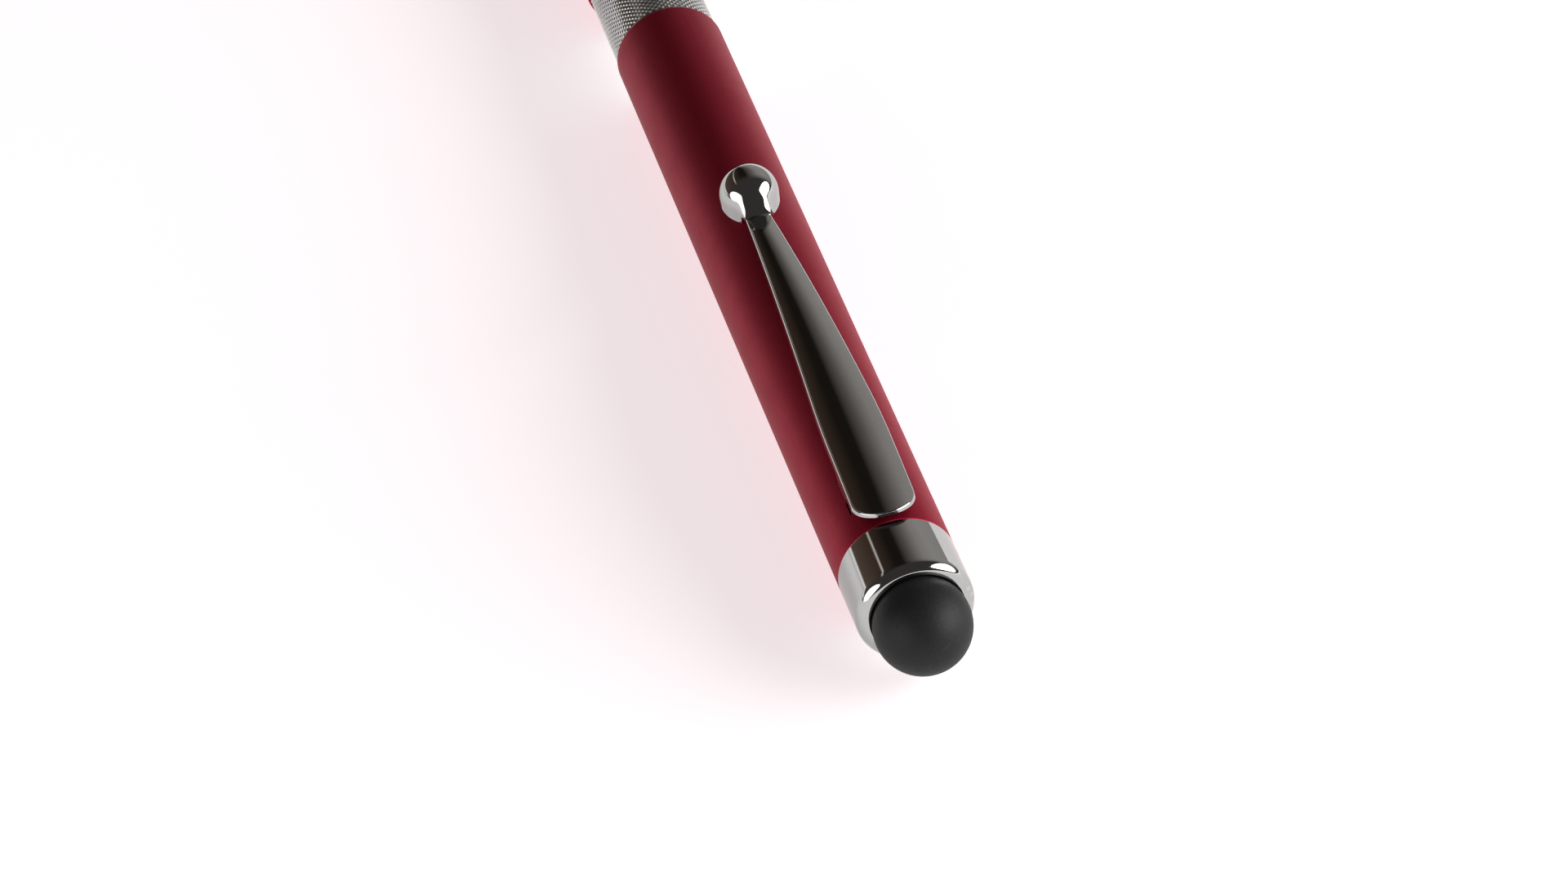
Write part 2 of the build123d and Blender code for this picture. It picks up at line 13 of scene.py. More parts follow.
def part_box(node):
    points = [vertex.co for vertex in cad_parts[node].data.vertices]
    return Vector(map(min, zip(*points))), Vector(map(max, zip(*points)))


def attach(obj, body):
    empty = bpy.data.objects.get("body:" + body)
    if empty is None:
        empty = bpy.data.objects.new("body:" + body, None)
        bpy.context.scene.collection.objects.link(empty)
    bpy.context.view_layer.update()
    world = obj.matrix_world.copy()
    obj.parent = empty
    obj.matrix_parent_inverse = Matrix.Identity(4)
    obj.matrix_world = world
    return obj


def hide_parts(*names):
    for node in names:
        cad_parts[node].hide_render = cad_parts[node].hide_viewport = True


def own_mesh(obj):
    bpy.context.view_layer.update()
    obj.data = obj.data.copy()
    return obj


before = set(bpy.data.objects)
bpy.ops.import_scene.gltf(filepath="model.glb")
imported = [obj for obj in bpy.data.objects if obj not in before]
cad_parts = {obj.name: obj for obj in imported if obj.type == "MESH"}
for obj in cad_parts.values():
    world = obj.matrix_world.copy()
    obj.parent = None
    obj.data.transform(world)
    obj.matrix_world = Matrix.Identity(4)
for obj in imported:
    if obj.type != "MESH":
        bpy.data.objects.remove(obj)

LOG = logging.getLogger("stylus_pen")
MM = 0.001
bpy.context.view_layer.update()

# A spot is a station and a distance from the axis, and a corner is a spot with its rounding radius.
Colour = tuple[float, float, float]
Point = tuple[float, float, float]
Corner = tuple[float, float, float]
Spot = tuple[float, float]

# Distances, in millimetres, below which points are merged, edges dropped and a ring drawn to a point.
MERGE_GAP = 1e-4
SLIVER = 1e-5
ON_AXIS = 1e-6

# Angle, in degrees, past which an edge stays sharp, unless a piece has its own.
CREASE = 35.0


class Body(str, Enum):
    """Bodies of the pen that move on their own."""

    UPPER = "upper_half"
    LOWER = "lower_half"
    CLIP = "clip"


class Relief(Enum):
    """What the fine unevenness of a finish looks like."""

    POLISH = "polish"
    GRAIN = "grain"
    STREAKS = "streaks"


class Socket(Enum):
    """Kinds of sockets that the node groups have."""

    VALUE = "NodeSocketFloat"
    COUNT = "NodeSocketInt"
    PLACE = "NodeSocketVector"
    FINISH = "NodeSocketMaterial"
    SHAPE = "NodeSocketGeometry"


# Stations along the pen, in millimetres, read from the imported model.
AXIS_Z = (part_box("upper_barrel")[0].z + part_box("upper_barrel")[1].z) / 2 / MM
X_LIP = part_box("stylus_ferrule")[0].x / MM
X_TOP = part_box("upper_barrel")[0].x / MM
X_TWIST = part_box("upper_barrel")[1].x / MM
X_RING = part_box("knurled_ring")[0].x / MM
X_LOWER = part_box("knurled_ring")[1].x / MM
X_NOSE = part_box("lower_barrel")[1].x / MM
X_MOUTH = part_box("nose_cone")[1].x / MM


class Graph:
    """Short-hand for filling a node tree."""

    # Where a Mix node has its share and its two colours, and where it puts out the mixed one.
    mix_inputs: tuple[int, int, int] = (0, 6, 7)
    mix_output: int = 2

    def __init__(self, tree: bpy.types.NodeTree) -> None:
        """Keep the tree that is filled."""
        self.tree = tree

    def feed(self, socket: bpy.types.NodeSocket, value: object) -> None:
        """Give a socket a value, or link it to another socket.

        Args:
            socket: The input to fill.
            value: A plain value, or the socket to link from.
        """
        if isinstance(value, bpy.types.NodeSocket):
            self.tree.links.new(value, socket)
        else:
            socket.default_value = value

    def add(self, kind: str, inputs: dict | None = None, **settings: object) -> bpy.types.Node:
        """Add a node.

        Args:
            kind: The node's Blender type.
            inputs: Values or sockets for its inputs, by name or number.
            **settings: The node's own properties.

        Returns:
            The new node.
        """
        node = self.tree.nodes.new(kind)
        for key, value in settings.items():
            setattr(node, key, value)
        for key, value in (inputs or {}).items():
            self.feed(node.inputs[key], value)
        return node

    def math(self, operation: str, first: object, second: object = 0.0) -> bpy.types.NodeSocket:
        """Return the result of a sum on two values or sockets."""
        return self.add("ShaderNodeMath", {0: first, 1: second}, operation=operation).outputs[0]

    def spread(
        self, value: object, low: object, high: object, to_low: float = 0.0, to_high: float = 1.0,
    ) -> bpy.types.NodeSocket:
        """Return a value moved from one range to another, held at its ends."""
        ends = {"Value": value, "From Min": low, "From Max": high, "To Min": to_low, "To Max": to_high}
        return self.add("ShaderNodeMapRange", ends).outputs[0]

    def blend(self, share: object, first: object, second: object) -> bpy.types.NodeSocket:
        """Mix two colours.

        Args:
            share: How much of the second colour there is.
            first: A colour, or a socket that puts one out.
            second: A colour, or a socket that puts one out.

        Returns:
            The mixed colour.
        """
        mix = self.add("ShaderNodeMix", data_type="RGBA")
        for number, value in zip(self.mix_inputs, (share, first, second)):
            self.feed(mix.inputs[number], (*value, 1.0) if isinstance(value, tuple) else value)
        return mix.outputs[self.mix_output]

    def vector(self, x: object, y: object, z: object) -> bpy.types.NodeSocket:
        """Return three values joined into a vector."""
        return self.add("ShaderNodeCombineXYZ", {0: x, 1: y, 2: z}).outputs[0]

    def place(self) -> bpy.types.NodeSocket:
        """Return the piece's own coordinates."""
        return self.add("ShaderNodeTexCoord").outputs["Object"]

    def noise(
        self, place: object, scale: object, detail: float, roughness: float = 0.5,
    ) -> bpy.types.NodeSocket:
        """Return a cloudy pattern."""
        inputs = {"Vector": place, "Scale": scale, "Detail": detail, "Roughness": roughness}
        return self.add("ShaderNodeTexNoise", inputs).outputs[0]

    def group(self, tree: bpy.types.NodeTree, inputs: dict[str, object]) -> bpy.types.NodeOutputs:
        """Place a shared node group with its own values and return what it puts out."""
        return self.add("ShaderNodeGroup", inputs, node_tree=tree).outputs


def empty_graph(owner: bpy.types.Material | bpy.types.World) -> Graph:
    """Clear the nodes of a material or a world.

    Args:
        owner: The material or world.

    Returns:
        Its graph, with no node in it.
    """
    owner.use_nodes = True
    owner.node_tree.nodes.clear()
    return Graph(owner.node_tree)


def new_group(
    name: str, kind: str, inputs: dict[str, Socket], outputs: dict[str, Socket],
) -> bpy.types.NodeTree:
    """Make an empty node group.

    Args:
        name: The group's name.
        kind: The tree's Blender type.
        inputs: Kinds of its inputs, by name.
        outputs: Kinds of its outputs, by name.

    Returns:
        The group's tree.
    """
    tree = bpy.data.node_groups.new(name, kind)
    for way, sockets in (("INPUT", inputs), ("OUTPUT", outputs)):
        for socket, form in sockets.items():
            tree.interface.new_socket(socket, in_out=way, socket_type=form.value)
    return tree


@dataclass
class SharedEffects:
    """Node groups that several finishes use."""

    smear_detail: float = 4.0
    smear_roughness: float = 0.6
    smear_from: float = 0.35
    smear_to: float = 0.68
    hairline_turn: Point = (0.4, 0.3, 0.5)
    hairline_stretch: Point = (0.04, 1.0, 1.0)
    hairline_detail: float = 2.0
    hairline_from: float = 0.62
    hairline_to: float = 0.72
    grain_detail: float = 3.0
    grain_roughness: float = 0.55
    grain_from: float = 0.3
    grain_to: float = 0.7
    cell_share: float = 0.5
    patch_scale: float = 900.0
    patch_detail: float = 3.0
    patch_from: float = 0.3
    patch_to: float = 0.6
    least_wear_and_glint: float = 0.35

    def __post_init__(self) -> None:
        """Build each group once."""
        self.handling = self.build_handling()
        self.grain = self.build_grain()
        self.edges = self.build_edges()

    def build_handling(self) -> bpy.types.NodeTree:
        """Build the faint smears and hairlines that handling leaves.

        Returns:
            A group that puts out a cloudy mask and a hairline mask.
        """
        inputs = {"Smear scale": Socket.VALUE, "Hairline scale": Socket.VALUE}
        outputs = {"Smear": Socket.VALUE, "Hairline": Socket.VALUE}
        tree = new_group("handling", "ShaderNodeTree", inputs, outputs)
        graph = Graph(tree)
        given = graph.add("NodeGroupInput").outputs
        place = graph.place()
        smear = graph.noise(place, given["Smear scale"], self.smear_detail, self.smear_roughness)
        drawn = {"Vector": place, "Rotation": self.hairline_turn, "Scale": self.hairline_stretch}
        along = graph.add("ShaderNodeMapping", drawn).outputs[0]
        lines = graph.noise(along, given["Hairline scale"], self.hairline_detail)
        result = graph.add("NodeGroupOutput").inputs
        graph.feed(result["Smear"], graph.spread(smear, self.smear_from, self.smear_to))
        graph.feed(result["Hairline"], graph.spread(lines, self.hairline_from, self.hairline_to))
        return tree

    def build_grain(self) -> bpy.types.NodeTree:
        """Build a fine even grain.

        Returns:
            A group that puts out the grain as a tone and as a height.
        """
        inputs = {"Scale": Socket.VALUE, "Stretch": Socket.VALUE}
        outputs = {"Tone": Socket.VALUE, "Height": Socket.VALUE}
        tree = new_group("fine_grain", "ShaderNodeTree", inputs, outputs)
        graph = Graph(tree)
        given = graph.add("NodeGroupInput").outputs
        scale = graph.vector(given["Stretch"], 1.0, 1.0)
        drawn = graph.add("ShaderNodeMapping", {"Vector": graph.place(), "Scale": scale}).outputs[0]
        noise = graph.noise(drawn, given["Scale"], self.grain_detail, self.grain_roughness)
        cells = graph.add("ShaderNodeTexVoronoi", {"Vector": drawn, "Scale": given["Scale"]}).outputs[0]
        height = graph.math("ADD", noise, graph.math("MULTIPLY", cells, self.cell_share))
        result = graph.add("NodeGroupOutput").inputs
        graph.feed(result["Tone"], graph.spread(noise, self.grain_from, self.grain_to))
        graph.feed(result["Height"], height)
        return tree

    def build_edges(self) -> bpy.types.NodeTree:
        """Build the mask of outer edges that are lightened, as wear and as a painted highlight.

        Returns:
            A group that puts out where an edge is worn bright and given a painted highlight.
        """
        inputs = {"From": Socket.VALUE, "To": Socket.VALUE}
        tree = new_group("rubbed_and_glinting_edges", "ShaderNodeTree", inputs, {"Wear and glint": Socket.VALUE})
        graph = Graph(tree)
        given = graph.add("NodeGroupInput").outputs
        patchy = graph.noise(graph.place(), self.patch_scale, self.patch_detail)
        # Painted highlight: sharp convex edges, found by pointiness, take a lighter colour, partly as wear.
        corner = graph.add("ShaderNodeNewGeometry").outputs["Pointiness"]
        sharp = graph.spread(corner, given["From"], given["To"])
        patches = graph.spread(patchy, self.patch_from, self.patch_to, self.least_wear_and_glint)
        result = graph.add("NodeGroupOutput").inputs
        graph.feed(result["Wear and glint"], graph.math("MULTIPLY", sharp, patches))
        return tree


@dataclass(frozen=True)
class Finish:
    """One surface finish: its tones, its gloss and its fine relief."""

    name: str
    colour: Colour
    cloud: Colour
    edge: Colour
    metallic: float
    smooth: float
    dull: float
    coat: float = 0.0
    coat_roughness: float = 0.1
    specular: float = 0.5
    relief: Relief = Relief.GRAIN
    grain_scale: float = 4000.0
    grain_height: float = 0.002
    # Colour and radii of painted shade, darker towards the axis, in the valleys between a knurl's studs.
    valley_shade: Colour | None = None
    valley_shade_from: float = 0.0
    valley_shade_to: float = 0.0
    streak: float = 0.06
    smear_scale: float = 260.0
    hairline_scale: float = 2600.0
    hairline_share: float = 0.5
    edge_from: float = 0.52
    edge_to: float = 0.62
    most_worn: float = 1.3
    bump_strength: float = 0.6

    def build(self, effects: SharedEffects) -> bpy.types.Material:
        """Build the finish as a material.

        Args:
            effects: The node groups that finishes share.

        Returns:
            The material.
        """
        material = bpy.data.materials.new(self.name)
        graph = empty_graph(material)
        scales = {"Smear scale": self.smear_scale, "Hairline scale": self.hairline_scale}
        stretch = self.streak if self.relief is Relief.STREAKS else 1.0
        marks = graph.group(effects.handling, scales)
        grain = graph.group(effects.grain, {"Scale": self.grain_scale, "Stretch": stretch})
        edge_wear_and_glint = graph.group(effects.edges, {"From": self.edge_from, "To": self.edge_to})
        tone = graph.math("MULTIPLY", graph.math("ADD", marks["Smear"], grain["Tone"]), 0.5)
        colour = graph.blend(tone, self.colour, self.cloud)
        # Painted shade: darker towards the root, in the valleys between the studs, where shade falls.
        if self.valley_shade is not None:
            colour = graph.blend(self.valley_shade_mask(graph), self.valley_shade, colour)
        # Painted highlight and wear: convex edges take the finish's lighter edge colour.
        colour = graph.blend(edge_wear_and_glint["Wear and glint"], colour, self.edge)
        worn = graph.math("ADD", tone, graph.math("MULTIPLY", marks["Hairline"], self.hairline_share))
        inputs = {
            "Base Color": colour,
            "Metallic": self.metallic,
            "Roughness": graph.spread(worn, 0.0, self.most_worn, self.smooth, self.dull),
            "Coat Weight": self.coat,
            "Coat Roughness": self.coat_roughness,
            "Specular IOR Level": self.specular,
        }
        if self.relief is not Relief.POLISH:
            bump = {
                "Strength": self.bump_strength,
                "Distance": self.grain_height * MM,
                "Height": grain["Height"],
            }
            inputs["Normal"] = graph.add("ShaderNodeBump", bump).outputs[0]
        shader = graph.add("ShaderNodeBsdfPrincipled", inputs)
        graph.add("ShaderNodeOutputMaterial", {"Surface": shader.outputs[0]})
        return material

    def valley_shade_mask(self, graph: Graph) -> bpy.types.NodeSocket:
        """Work out how far a point stands out from the pen's axis.

        Args:
            graph: The material's graph.

        Returns:
            A value from zero at the distance where the painted valley shade is full to one where it ends.
        """
        split = graph.add("ShaderNodeSeparateXYZ", {0: graph.place()}).outputs
        height = graph.math("SUBTRACT", split["Z"], AXIS_Z * MM)
        squares = [graph.math("POWER", side, 2.0) for side in (split["Y"], height)]
        distance = graph.math("SQRT", graph.math("ADD", *squares))
        return graph.spread(distance, self.valley_shade_from * MM, self.valley_shade_to * MM)


# Each finish's edge colour lightens its convex edges, as wear and as a painted highlight.
RED_LACQUER = Finish(
    "red_lacquer", colour=(0.45, 0.015, 0.045), cloud=(0.40, 0.012, 0.038), edge=(0.78, 0.22, 0.32),
    metallic=1.0, smooth=0.52, dull=0.62, coat=0.10, coat_roughness=0.34,
    grain_scale=9000.0, grain_height=0.0015,
)
CHROME = Finish(
    "bright_chrome", colour=(0.61, 0.605, 0.60), cloud=(0.57, 0.565, 0.555), edge=(0.72, 0.71, 0.70),
    metallic=1.0, smooth=0.035, dull=0.10, relief=Relief.POLISH,
)
# The knurl gets painted shade in the valleys between its studs.
KNURL_SILVER = Finish(
    "knurled_silver", colour=(0.95, 0.94, 0.93), cloud=(0.90, 0.89, 0.88), edge=(0.96, 0.95, 0.94),
    metallic=1.0, smooth=0.22, dull=0.32, grain_scale=6000.0, grain_height=0.002,
    valley_shade=(0.50, 0.49, 0.48), valley_shade_from=4.71, valley_shade_to=4.785,
)
TIP_RUBBER = Finish(
    "stylus_rubber", colour=(0.011, 0.011, 0.012), cloud=(0.017, 0.017, 0.018), edge=(0.03, 0.03, 0.032),
    metallic=0.0, smooth=0.50, dull=0.66, specular=0.36, grain_scale=5200.0, grain_height=0.02,
)
SEAL_RUBBER = Finish(
    "seal_rubber", colour=(0.016, 0.016, 0.016), cloud=(0.026, 0.025, 0.024), edge=(0.05, 0.05, 0.05),
    metallic=0.0, smooth=0.45, dull=0.7, grain_scale=5000.0, grain_height=0.008,
)
BRASS = Finish(
    "turned_brass", colour=(0.60, 0.42, 0.16), cloud=(0.50, 0.34, 0.12), edge=(0.78, 0.60, 0.30),
    metallic=1.0, smooth=0.20, dull=0.38, relief=Relief.STREAKS, grain_scale=2600.0, grain_height=0.004,
)
ACETAL = Finish(
    "white_acetal", colour=(0.74, 0.74, 0.71), cloud=(0.66, 0.66, 0.62), edge=(0.82, 0.82, 0.80),
    metallic=0.0, smooth=0.38, dull=0.55, grain_scale=3000.0, grain_height=0.006,
)
SPRING_STEEL = Finish(
    "spring_steel", colour=(0.50, 0.49, 0.47), cloud=(0.38, 0.37, 0.36), edge=(0.68, 0.67, 0.66),
    metallic=1.0, smooth=0.18, dull=0.36, relief=Relief.STREAKS, grain_scale=4200.0, grain_height=0.003,
)
REFILL_STEEL = Finish(
    "refill_steel", colour=(0.58, 0.57, 0.55), cloud=(0.50, 0.49, 0.47), edge=(0.72, 0.71, 0.70),
    metallic=1.0, smooth=0.16, dull=0.30, relief=Relief.STREAKS, grain_scale=3600.0, grain_height=0.002,
)
SLOT_FINISHES = {
    "red_barrel": RED_LACQUER,
    "bright_trim": CHROME,
    "knurled_silver": KNURL_SILVER,
    "tip_rubber": TIP_RUBBER,
    "seal_rubber": SEAL_RUBBER,
    "inner_brass": BRASS,
    "white_acetal": ACETAL,
    "spring_steel": SPRING_STEEL,
    "refill_steel": REFILL_STEEL,
}


class Workshop:
    """Makes meshes, gives them their finish and fixes them to the model."""

    def __init__(self) -> None:
        """Build every finish of the record's slots."""
        effects = SharedEffects()
        self.materials = {slot: finish.build(effects) for slot, finish in SLOT_FINISHES.items()}

    def settle(
        self, name: str, shape: bmesh.types.BMesh, slot: str, crease: float = CREASE,
    ) -> bpy.types.Object:
        """Turn a shape into a finished object.

        Args:
            name: The object's name.
            shape: The shape, in millimetres from the frame's origin.
            slot: The record's material slot.
            crease: Angle, in degrees, past which an edge stays sharp.

        Returns:
            The object, linked to the scene.
        """
        bmesh.ops.remove_doubles(shape, verts=shape.verts, dist=MERGE_GAP)
        bmesh.ops.dissolve_degenerate(shape, edges=shape.edges, dist=SLIVER)
        bmesh.ops.recalc_face_normals(shape, faces=shape.faces)
        bmesh.ops.scale(shape, vec=(MM, MM, MM), verts=shape.verts)
        mesh = bpy.data.meshes.new(name)
        shape.to_mesh(mesh)
        shape.free()
        self.shade(mesh, slot, crease)
        piece = bpy.data.objects.new(name, mesh)
        bpy.context.scene.collection.objects.link(piece)
        return piece

    def shade(self, mesh: bpy.types.Mesh, slot: str, crease: float = CREASE) -> None:
        """Give a mesh its finish and smooth it up to a crease angle.

        Args:
            mesh: The mesh.
            slot: The record's material slot.
            crease: Angle, in degrees, past which an edge stays sharp.
        """
        mesh.materials.clear()
        mesh.materials.append(self.materials[slot])
        mesh.shade_smooth()
        mesh.set_sharp_from_angle(angle=math.radians(crease))

    def grow(self, piece: bpy.types.Object, tree: bpy.types.NodeTree, sizes: dict[str, object]) -> None:
        """Put a geometry tree on an object and set its inputs.

        Args:
            piece: The object.
            tree: The geometry tree.
            sizes: Values of the tree's inputs, by name.
        """
        growth = piece.modifiers.new(tree.name, "NODES")
        growth.node_group = tree
        for item in tree.interface.items_tree:
            if item.item_type == "SOCKET" and item.name in sizes:
                growth[item.identifier] = sizes[item.name]

    def bake(self, piece: bpy.types.Object, slot: str, crease: float = CREASE) -> None:
        """Turn an object with modifiers into a plain mesh.

        Args:
            piece: The object.
            slot: The record's material slot.
            crease: Angle, in degrees, past which an edge stays sharp.
        """
        evaluated = piece.evaluated_get(bpy.context.evaluated_depsgraph_get())
        mesh = bpy.data.meshes.new_from_object(evaluated)
        piece.modifiers.clear()
        piece.data = mesh
        self.shade(mesh, slot, crease)

    def fix(self, piece: bpy.types.Object, node: str, body: Body) -> None:
        """Let a piece stand for a node and ride on a body.

        Args:
            piece: The finished piece.
            node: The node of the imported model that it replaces.
            body: The body that carries it.
        """
        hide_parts(node)
        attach(piece, body.value)
        LOG.info("%s stands for %s: %d faces", piece.name, node, len(piece.data.polygons))

    def dress(self, node: str, slot: str) -> None:
        """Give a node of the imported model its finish.

        Args:
            node: The node, which keeps its own shape.
            slot: The record's material slot.
        """
        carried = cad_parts[node]
        for place in carried.material_slots:
            place.material = self.materials[slot]
        if not carried.material_slots:
            carried.data.materials.append(self.materials[slot])
        LOG.info("%s keeps its own shape in %s", node, slot)


def eased(corners: Sequence[Corner], steps: int = 7) -> list[Spot]:
    """Round the corners of a closed outline.

    Args:
        corners: Station, distance from the axis and rounding radius of each corner.
        steps: How many edges a rounded corner gets.

    Returns:
        The outline's points.
    """
    points: list[Spot] = []
    for number, (x, r, radius) in enumerate(corners):
        here = Vector((x, r))
        before = Vector(corners[number - 1][:2]) - here
        after = Vector(corners[(number + 1) % len(corners)][:2]) - here
        if radius <= 0.0:
            points.append((x, r))
            continue
        half = before.angle(after) / 2
        middle = here + (before.normalized() + after.normalized()).normalized() * radius / math.sin(half)
        start = here + before.normalized() * radius / math.tan(half) - middle
        turn = start.angle_signed(here + after.normalized() * radius / math.tan(half) - middle)
        for step in range(steps + 1):
            angle = -turn * step / steps
            spoke = Matrix.Rotation(angle, 2) @ start
            points.append(tuple(middle + spoke))
    return points


def belly(start: Spot, end: Spot, swell: float, steps: int) -> list[Corner]:
    """Draw a line that swells outwards in its middle.

    Args:
        start: Station and distance from the axis where it starts.
        end: Station and distance from the axis where it ends.
        swell: How far its middle stands out from a straight line.
        steps: How many stretches it has.

    Returns:
        Its corners, without its two ends.
    """
    corners = []
    for step in range(1, steps):
        share = step / steps
        r = start[1] + (end[1] - start[1]) * share + 4 * swell * share * (1 - share)
        corners.append((start[0] + (end[0] - start[0]) * share, r, 0.0))
    return corners


def turned(outline: Sequence[Spot], segments: int = 192) -> bmesh.types.BMesh:
    """Turn a closed outline round the pen's axis.

    Args:
        outline: Stations and distances from the axis, in millimetres.
        segments: How many faces go round.

    Returns:
        The closed shape.
    """
    shape = bmesh.new()
    rings = []
    for x, r in outline:
        if r < ON_AXIS:
            rings.append([shape.verts.new((x, 0.0, AXIS_Z))])
            continue
        angles = [2 * math.pi * step / segments for step in range(segments)]
        rings.append([shape.verts.new((x, r * math.sin(a), AXIS_Z + r * math.cos(a))) for a in angles])
    for first, second in zip(rings, rings[1:] + rings[:1]):
        join_rings(shape, first, second)
    return shape


def join_rings(
    shape: bmesh.types.BMesh, first: list[bmesh.types.BMVert], second: list[bmesh.types.BMVert],
) -> None:
    """Fill between two rings, either of which may be a single point.

    Args:
        shape: The shape that gets the faces.
        first: Vertices of one ring.
        second: Vertices of the other ring.
    """
    count = max(len(first), len(second))
    if count == 1:
        return
    for step in range(count):
        after = (step + 1) % count
        corners = [first[step % len(first)], first[after % len(first)]]
        corners += [second[after % len(second)], second[step % len(second)]]
        shape.faces.new(list(dict.fromkeys(corners)))


def hermite(share: float, start: float, start_run: float, end: float, end_run: float) -> float:
    """Return a point on a smooth curve between two values with given runs at its ends."""
    curve = (2 * share**3 - 3 * share**2 + 1) * start + (share**3 - 2 * share**2 + share) * start_run
    return curve + (3 * share**2 - 2 * share**3) * end + (share**3 - share**2) * end_run


def block(shape: bmesh.types.BMesh, low: Point, high: Point, ease: float = 0.0) -> None:
    """Add a box between two corners.

    Args:
        shape: The shape that gets the box.
        low: Its lowest corner.
        high: Its highest corner.
        ease: How wide its edges are bevelled.
    """
    made = bmesh.ops.create_cube(shape, size=1.0)["verts"]
    middle = [(a + b) / 2 for a, b in zip(low, high)]
    size = [b - a for a, b in zip(low, high)]
    bmesh.ops.scale(shape, vec=size, verts=made)
    bmesh.ops.translate(shape, vec=middle, verts=made)
    if ease > 0.0:
        edges = list({edge for vert in made for edge in vert.link_edges})
        bmesh.ops.bevel(shape, geom=edges, offset=ease, segments=2, affect="EDGES")


@dataclass
class UpperBarrel:
    """Red tube of the upper half, with two slits for the clip's tabs."""

    radius: float = 5.0
    bore: float = 4.3
    twist_edge: float = 0.4
    top_edge: float = 0.1
    bore_edge: float = 0.05
    slit_from: float = 2.9
    slit_to: float = 7.5
    slit_middle: float = 2.445
    slit_width: float = 0.54
    slit_floor: float = 2.4
    slit_margin: float = 0.3
    cutter_over: float = 1.0

    def build(self, shop: Workshop) -> None:
        """Build the tube, cut its slits and fix it to the upper half.

        Args:
            shop: Makes the mesh and fixes it.
        """
        around_slits = (X_TOP + self.slit_from - self.slit_margin, X_TOP + self.slit_to + self.slit_margin)
        corners = [(X_TOP, self.bore, 0.0), (X_TOP, self.radius, self.top_edge)]
        corners += [(x, self.radius, 0.0) for x in around_slits]
        corners += [(X_TWIST, self.radius, self.twist_edge), (X_TWIST, self.bore, self.bore_edge)]
        corners += [(x, self.bore, 0.0) for x in reversed(around_slits)]
        barrel = shop.settle("dressed_upper_barrel", turned(eased(corners)), "red_barrel")
        self.cut_slits(shop, barrel)
        shop.fix(barrel, "upper_barrel", Body.UPPER)

    def cut_slits(self, shop: Workshop, barrel: bpy.types.Object) -> None:
        """Cut the slits that the clip's tabs go through.

        Args:
            shop: Makes the cutter.
            barrel: The whole tube.
        """
        shape = bmesh.new()
        for side in (-1, 1):
            middle = side * self.slit_middle
            low = (X_TOP + self.slit_from, middle - self.slit_width / 2, AXIS_Z + self.slit_floor)
            top = AXIS_Z + self.radius + self.cutter_over
            block(shape, low, (X_TOP + self.slit_to, middle + self.slit_width / 2, top))
        cutter = shop.settle("slit_cutter", shape, "red_barrel")
        cut = barrel.modifiers.new("slits", "BOOLEAN")
        cut.object = cutter
        cut.solver = "EXACT"
        shop.bake(barrel, "red_barrel")
        bpy.data.objects.remove(cutter)


@dataclass
class StylusEnd:
    """Chrome ferrule and the soft dome that it holds."""

    radius: float = 5.0
    shoulder: float = 0.96
    seat_edge: float = 0.08
    lip_radius: float = 3.96
    lip_edge: float = 0.1
    lip_land: float = 0.45
    cavity: float = 4.2
    floor: float = 1.3
    stud_radius: float = 2.58
    stud_length: float = 6.0
    stud_edge: float = 0.2
    ferrule_steps: int = 14
    dome_radius: float = 4.1
    neck_radius: float = 3.76
    neck_in: float = 0.13
    rubber_wall: float = 0.9
    flange: float = 1.2
    flange_edge: float = 0.1
    flange_gap: float = 0.02
    flange_steps: int = 6
    dome_steps: int = 48

    def build(self, shop: Workshop) -> None:
        """Build the ferrule and the dome and fix both to the upper half.

        Args:
            shop: Makes the meshes and fixes them.
        """
        outline = turned(eased(self.ferrule_corners(), self.ferrule_steps))
        ferrule = shop.settle("dressed_ferrule", outline, "bright_trim")
        shop.fix(ferrule, "stylus_ferrule", Body.UPPER)
        outline = turned(eased(self.dome_corners(), self.flange_steps))
        dome = shop.settle("dressed_stylus_tip", outline, "tip_rubber")
        shop.fix(dome, "stylus_tip", Body.UPPER)

    def ferrule_corners(self) -> list[Corner]:
        """Draw the ferrule.

        Returns:
            Its outline, from its stud round to its floor.
        """
        ledge = X_LIP + self.lip_land
        floor = X_TOP - self.floor
        stud = X_TOP + self.stud_length
        return [
            (stud, 0.0, 0.0), (stud, self.stud_radius, self.stud_edge),
            (X_TOP, self.stud_radius, 0.0), (X_TOP, self.radius, self.seat_edge),
            (X_LIP, self.radius, self.shoulder), (X_LIP, self.lip_radius, self.lip_edge),
            (ledge, self.lip_radius, 0.0), (ledge, self.cavity, 0.0),
            (floor, self.cavity, 0.0), (floor, 0.0, 0.0),
        ]

    def dome_corners(self) -> list[Corner]:
        """Draw the dome.

        Returns:
            Its outline: flange, neck, skin and hollow.
        """
        bore = self.neck_radius - self.rubber_wall
        seat = X_LIP + self.lip_land
        back, ledge = seat + self.flange, seat + self.flange_gap
        rim = self.cavity - self.flange_gap
        centre = X_LIP + self.neck_in - math.sqrt(self.dome_radius**2 - self.neck_radius**2)
        corners = [
            (back, bore, 0.0), (back, rim, self.flange_edge),
            (ledge, rim, self.flange_edge), (ledge, self.neck_radius, 0.0),
        ]
        corners += self.cap(centre, self.dome_radius, self.neck_radius)
        corners += reversed(self.cap(centre, self.dome_radius - self.rubber_wall, bore))
        return corners

    def cap(self, centre: float, radius: float, mouth: float) -> list[Corner]:
        """Draw a round cap.

        Args:
            centre: Station of its centre.
            radius: Its radius.
            mouth: Radius of its open side.

        Returns:
            Corners along it, from its mouth to its apex on the axis.
        """
        start = math.asin(mouth / radius)
        corners = []
        for step in range(self.dome_steps + 1):
            angle = math.pi - start - (math.pi - start) * step / self.dome_steps
            corners.append((centre - radius * math.cos(angle), radius * math.sin(angle), 0.0))
        corners[-1] = (centre - radius, 0.0, 0.0)
        return corners


